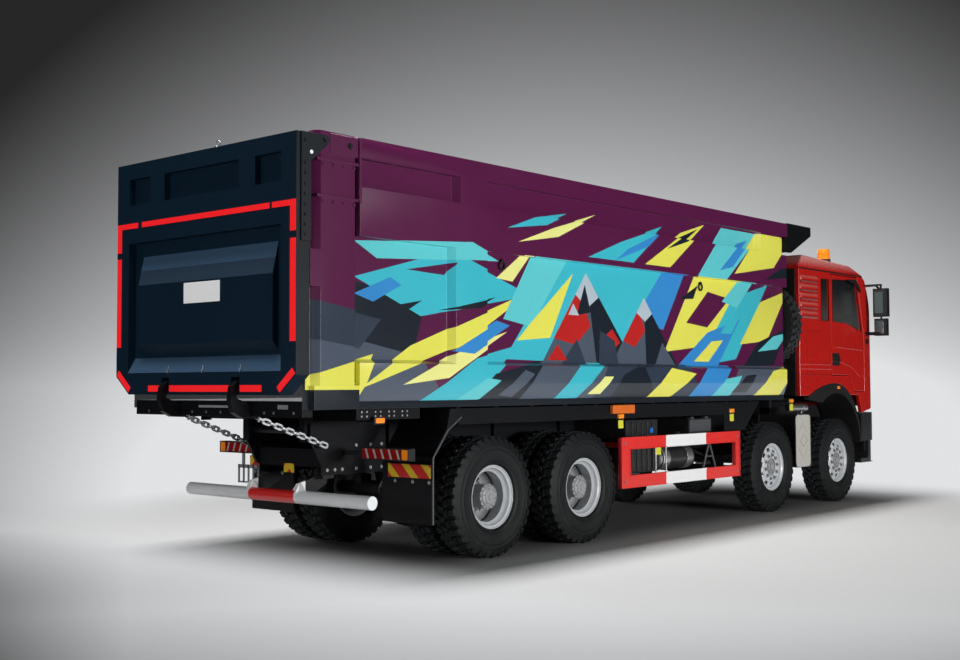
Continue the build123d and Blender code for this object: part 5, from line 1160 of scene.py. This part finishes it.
fittings("sill_bolts", "bed", STEEL, bolt=0.009, bolts=[
    ((-2.245, y, 1.372), BACK) for y in (-1.05, -0.8, -0.68, -0.3, -0.1, 0.1, 0.3, 0.7, 0.95)])

# %% [markdown]
# Behind the rear axle are the tail lamps, red with slanting clear bars and an amber end, the
# chevron boards on the wings' flaps and on the round bar, and a slotted bracket on the left.

# %% Rear fittings
pairs("tail_lenses", "chassis", RED_LENS, bevel=0.003, smooth=0, boxes=[
    (-1.1885, -1.1835, -1.205, -0.728, 0.952, 1.048)])
slabs("tail_bars", "chassis", CLEAR_LENS, [
    [(-1.1905, y + shift, z) for shift, z in
     ((-0.026, 0.958), (-0.004, 0.958), (0.026, 1.042), (0.004, 1.042))]
    for y in (-0.79, -0.885, -0.98, -1.075, -1.17)], (0.004, 0, 0))
pairs("tail_frames", "chassis", SEAL, [(-1.1935, -1.18, *row) for row in (
    (-1.3, -0.72, 1.044, 1.055), (-1.3, -0.72, 0.945, 0.956), (-1.3, -1.29, 0.945, 1.055),
    (-1.214, -1.205, 0.945, 1.055), (-0.73, -0.72, 0.945, 1.055))])
pairs("tail_amber", "chassis", AMBER_LENS, bevel=0.003, boxes=[
    (-1.189, -1.183, -1.292, -1.214, 0.952, 1.048)])
fittings("chevron_faces", "chassis", CHEVRONS, bevel=0, smooth=0, boxes=[
    (-0.8625, -0.858, -1.244, -0.722, 0.778, 0.898),
    (-0.8625, -0.858, 0.722, 1.244, 0.778, 0.898), (-1.403, -1.398, -0.063, 0.077, 0.812, 0.893)])
pairs("flap_bolts", "chassis", STEEL, bolt=0.012, bolts=[
    ((-0.83, -y, 0.742), BACK) for y in (0.78, 1.0, 1.2)])
WING = [(-0.451, -1.24, 1.31), (-0.627, -1.24, 1.199), (-0.824, -1.24, 0.958),
        (-0.824, -1.24, 0.376)]
pairs("wing_edges", "chassis", BOX_GREY, rods=[
    (start, end, 0.009) for start, end in zip(WING, WING[1:])])
slabs("bar_plates", "chassis", WHITE_PAINT, [
    [(-1.57, y + shift, z) for shift, z in
     ((-0.105, 0.655), (0.105, 0.655), (0.03, 0.738), (-0.03, 0.738))]
    for y in (-0.325, 0.325)], (0.012, 0, 0), pair=False, bevel=0.003)
fittings("slotted_bracket", "chassis", HUB_GREY, bevel=0.001, boxes=[
    (-1.15, -1.142, 0.602, 1.066, 0.8, 0.834), (-1.15, -1.142, 0.602, 1.066, 0.657, 0.672)]
    + [(-1.15, -1.142, 0.602 + 0.0733 * k, 0.626 + 0.0733 * k, 0.657, 0.834) for k in range(7)]
    + [(-1.146, -1.136, 0.66, 0.7, 0.8, 0.95), (-1.146, -1.136, 0.97, 1.01, 0.8, 0.95)])
pairs("rear_bolts", "chassis", STEEL, bolts=[
    ((x, -0.43, z), RIGHT) for x in (-1.33, -1.24, -1.15, -0.98, -0.8, -0.66)
    for z in (0.845, 1.055)])

# %% [markdown]
# Along the side run the marker lamps, the wheel chock, the guard with its raised lips, and
# what shows through it: battery box, air tanks' silver ends, a leaning bracket and two rods.

# %% Side fittings
MARKERS = ((-1.435, 1.299), (2.101, 1.262), (4.415, 1.283), (5.932, 1.383))
LIP = 0.009
pairs("markers", "chassis", AMBER_LENS, bevel=0.004, boxes=[
    (x - 0.05, x + 0.05, -1.214, -1.196, z - 0.022, z + 0.022) for x, z in MARKERS])
pairs("marker_bases", "chassis", BLACK_PLASTIC, bevel=0.003, boxes=[
    (x - 0.06, x + 0.06, -1.2, -1.187, z - 0.032, z + 0.032) for x, z in MARKERS])
fittings("marker_brackets", "chassis", YELLOW_PAINT, bevel=0.001, boxes=[
    (x - 0.045, x + 0.045, -1.206, -1.2, z - 0.125, z - 0.04) for x, z in MARKERS[1:]])
pairs("marker_stays", "chassis", CHASSIS, boxes=[
    (-1.445, -1.425, -1.195, -0.43, 1.285, 1.305), (5.922, 5.942, -1.195, -0.9, 1.37, 1.384)])
fittings("wheel_chock", "chassis", ORANGE, bevel=0.008, boxes=[
    (1.913, 2.318, -1.24, -1.196, 1.292, 1.383)])
lips = []
for x0, x1, z0, z1 in ((2.1, 4.59, 0.5, 1.038), (2.262, 4.488, 0.624, 0.916)):
    lips += [(x0, x1, -1.215, -1.203, z0, z0 + LIP), (x0, x1, -1.215, -1.203, z1 - LIP, z1),
             (x0, x0 + LIP, -1.215, -1.203, z0, z1), (x1 - LIP, x1, -1.215, -1.203, z0, z1)]
pairs("guard_lips", "chassis", GUARD_STRIPES, lips)
pairs("guard_bolts", "chassis", STEEL, bolt=0.012, bolts=[
    ((x, -1.205, z), RIGHT) for x in (2.185, 4.54) for z in (0.565, 0.975)])
fittings("hanging_rods", "chassis", STEEL, rods=[
    ((x, -1.155, 0.6), (x, -1.155, 1.0), 0.008) for x in (2.836, 3.043)])
fittings("battery_tag", "chassis", YELLOW_PAINT, [(2.903, 3.023, -1.106, -1.099, 0.818, 0.901)])
fittings("battery_ribs", "chassis", TANK_BLACK, bevel=0.003, boxes=[
    (2.345 + 0.1 * k, 2.385 + 0.1 * k, -1.112, -1.098, 0.66, 1.19) for k in range(6)])
DOME = [(0.0, 0.034), (0.045, 0.031), (0.085, 0.022), (0.113, 0.01), (0.128, -0.01),
        (0.1335, -0.03), (0.1335, -0.15), (0.0, -0.15)]
bm = bmesh.new()
for y in (-0.98, -0.68):
    for x, way in ((3.06, -1), (3.72, 1)):
        add_turned(bm, DOME, (x, y, 0.77), (way, 0, 0), steps=40)
finish_piece(bm, "air_tank_ends", "chassis", SILVER, smooth=40, bevel=0.001)
fittings("leaning_bracket", "chassis", BOX_GREY, bevel=0.002, rods=[
    ((3.82, -1.15, 0.59), (3.965, -1.15, 0.905), 0.013),
    ((4.13, -1.15, 0.59), (3.985, -1.15, 0.905), 0.013),
    ((3.9, -1.15, 0.76), (4.05, -1.15, 0.76), 0.01)])
fittings("blue_cap", "chassis", BLUE_CAP, bevel=0.003, rods=[
    ((2.807, -1.098, 1.094), (2.807, -1.128, 1.094), 0.032)])
fittings("cap_box_face", "chassis", BOX_GREY, bevel=0.004, boxes=[
    (3.6, 4.06, -1.128, -1.118, 1.052, 1.19), (3.64, 3.7, -1.118, -1.06, 1.195, 1.222),
    (3.96, 4.02, -1.118, -1.06, 1.195, 1.222)])

# %% [markdown]
# The silencer wears a heat shield with three raised marks: an arrow up, a lozenge and an
# arrow down. Its outlet pipe runs back above it.

# %% Silencer shield and pipe
bm = bmesh.new()
add_box(bm, 5.985, 6.377, -1.243, -1.23, 0.528, 1.2)
corner_edges = [e for e in bm.edges if abs((e.verts[0].co - e.verts[1].co).y) > 0.005]
bmesh.ops.bevel(bm, geom=corner_edges, offset=0.055, segments=6, profile=0.5, affect="EDGES")
finish_piece(bm, "silencer_shield", "chassis", CREAM, bevel=0.004)
ARROW = [(-0.13, -0.045), (0.0, 0.06), (0.13, -0.045), (0.13, -0.085), (0.0, 0.02),
         (-0.13, -0.085)]
LOZENGE = [(6.081, 0.865), (6.181, 0.945), (6.281, 0.865), (6.181, 0.785)]
bm = bmesh.new()
for middle, way in ((1.04, 1), (0.69, -1)):
    add_slab(bm, [(6.181 + x, -1.2425, middle + way * z) for x, z in ARROW], (0, -0.005, 0))
add_border(bm, [(x, -1.2425, z) for x, z in LOZENGE], 0.022, (0, -0.005, 0))
finish_piece(bm, "shield_marks", "chassis", CREAM, smooth=0, bevel=0.002)
bm = bmesh.new()
# start, inner radius, outer radius and length of the pipe and its two clamps
for x, inner, outer, length in ((5.945, 0.0455, 0.0485, 0.47), (6.02, 0.0485, 0.052, 0.022),
                                (6.3, 0.0485, 0.052, 0.022)):
    add_turned(bm, [(inner, 0.0), (outer, 0.0), (outer, length), (inner, length)],
               (x, -1.15, 1.29), (1, 0, 0), steps=36)
finish_piece(bm, "exhaust_sleeve", "chassis", SILVER, smooth=40, bevel=0.001)

# %% [markdown]
# The cab has five soft ribs behind the quarter window, a rain gutter, window seals, door
# handles in black recesses, panel lines and creases, wind deflectors, mirrors and wipers.

# %% Cab side
RIB_R, RIB_FLATNESS, PANEL_Y, WINDOW_Y = 0.050, 0.66, -1.2440, 1.2525
bm = bmesh.new()
for k in range(5):
    z = 2.508 + 0.117 * k
    rib = add_rod(bm, (6.16, 0, z), (6.59, 0, z), RIB_R, segments=24)
    for x in (6.16, 6.59):
        rib += bmesh.ops.create_uvsphere(bm, u_segments=24, v_segments=12, radius=RIB_R,
                                         matrix=Matrix.Translation((x, 0, z)))["verts"]
    bmesh.ops.scale(bm, vec=(1, RIB_FLATNESS, 1), verts=rib)
    bmesh.ops.translate(bm, vec=(0, PANEL_Y, 0), verts=rib)
mirror_left(bm)
finish_piece(bm, "louvre_ribs", "cab", RIB_PAINTED_SHEEN_AND_SHADE, smooth=50)
QUARTER_WINDOW = [(6.74, 2.445), (6.74, 3.008), (6.961, 3.012), (6.961, 2.445)]
bm = bmesh.new()
add_border(bm, [(x, -WINDOW_Y, z) for x, z in QUARTER_WINDOW], 0.020, (0, 0.024, 0))
mirror_left(bm)
finish_piece(bm, "quarter_seals", "cab", SEAL, smooth=0, bevel=0.002)
pairs("gutter", "cab", SEAL, [(6.105, 8.01, -1.257, -1.248, 3.103, 3.122)])
pairs("cab_panel_lines", "cab", SEAL, bevel=0, boxes=[
    (x0, x1, -1.2506, -1.249, z0, z1) for x0, x1, z0, z1 in (
        (6.298, 6.303, 1.722, 2.3), (6.298, 6.7, 2.296, 2.301), (6.11, 7.02, 1.72, 1.725))])
pairs("cab_creases", "cab", RED_PAINT, rods=[
    ((6.115, PANEL_Y, z), (7.018, PANEL_Y, z), 0.011) for z in (1.86, 1.8)])
pairs("arch_markers", "cab", AMBER_LENS, bevel=0.003, boxes=[
    (7.172, 7.244, -1.264, -1.253, 1.532, 1.57)])
pairs("beacon_bases", "cab", BLACK_PLASTIC, bevel=0.002, rods=[
    ((7.1, -1.12, 3.262), (7.1, -1.12, 3.3), 0.091)])
pairs("beacon_rings", "cab", AMBER_LENS, rings=[
    ((7.1, -1.12, z), UP, 0.085, 0.0035) for z in (3.33, 3.35, 3.37, 3.39)])

# %% Doors
DOOR_WINDOW = [(7.074, 2.45), (7.074, 3.016), (7.805, 3.045), (7.985, 2.33), (7.512, 2.433)]
DEFLECTOR = [(7.47, 3.04), (7.79, 3.058), (7.955, 2.9), (7.905, 2.88), (7.76, 2.985)]
CREASES = [(7.29, 1.905, 7.64, 1.835), (7.64, 1.835, 7.92, 1.69), (7.11, 2.105, 7.995, 2.075)]
for side, sign in SIDES:
    body = "door_" + side
    out = sign * 1.2505
    bm = bmesh.new()
    add_border(bm, [(x, sign * WINDOW_Y, z) for x, z in DOOR_WINDOW], 0.022,
               (0, -sign * 0.024, 0))
    finish_piece(bm, body + "_seal", body, SEAL, smooth=0, bevel=0.002)
    fittings(body + "_recess", body, SEAL, bevel=0.0008, boxes=[
        (7.046, 7.262, out - sign * 0.002, out + sign * 0.002, 1.846, 2.016)])
    fittings(body + "_handle", body, BLACK_PLASTIC, bevel=0.008, boxes=[
        (7.049, 7.254, out + sign * 0.001, sign * 1.272, 1.892, 1.968)])
    fittings(body + "_creases", body, RED_PAINT, slot="cab_paint", rods=[
        ((x0, sign * 1.2435, z0), (x1, sign * 1.2435, z1), 0.011) for x0, z0, x1, z1 in CREASES])
    bm = bmesh.new()
    add_slab(bm, [(x, sign * 1.262, z) for x, z in DEFLECTOR], (0, sign * 0.010, 0))
    finish_piece(bm, body + "_deflector", body, BLACK_PLASTIC, bevel=0.003)

# %% Mirrors, wipers and steps
pairs("mirror_glass", "cab", PALE_GLASS, boxes=[
    (8.096, 8.102, -1.52, -1.4, 2.59, 2.895), (8.096, 8.102, -1.52, -1.4, 2.305, 2.485)])
pairs("mirror_arms", "cab", BLACK_PLASTIC, rods=[
    ((8.14, -1.225, 2.31), (8.14, -1.47, 2.306), 0.024),
    ((8.14, -1.215, 2.985), (8.14, -1.4, 2.99), 0.015),
    ((8.14, -1.4, 2.99), (8.14, -1.46, 2.93), 0.015),
    ((8.15, -1.205, 2.2), (8.15, -1.262, 2.2), 0.042)])
pairs("mirror_markers", "cab", AMBER_LENS, boxes=[(8.15, 8.18, -1.5765, -1.57, 2.565, 2.6)])
fittings("wipers", "cab", SEAL, bevel=0.001, rods=[
    ((8.556, y, 2.285), (8.44, y + 0.6, 2.7), 0.008) for y in (-0.75, 0.05)])
pairs("step_plates", "chassis", STEEL, bevel=0.001, boxes=[
    (7.955, 8.29, -1.249, -1.01, 0.4965, 0.506)])
pairs("step_teeth", "chassis", STEEL, bolt=0.010, bolts=[
    ((7.99 + 0.055 * k, y, 0.506), UP) for k in range(6) for y in (-1.215, -1.15, -1.085)])
pairs("arch_walls", "cab", BLACK_PLASTIC, bevel=0.001, boxes=[
    (6.3, 7.95, -0.712, -0.7, 1.138, 1.3)])
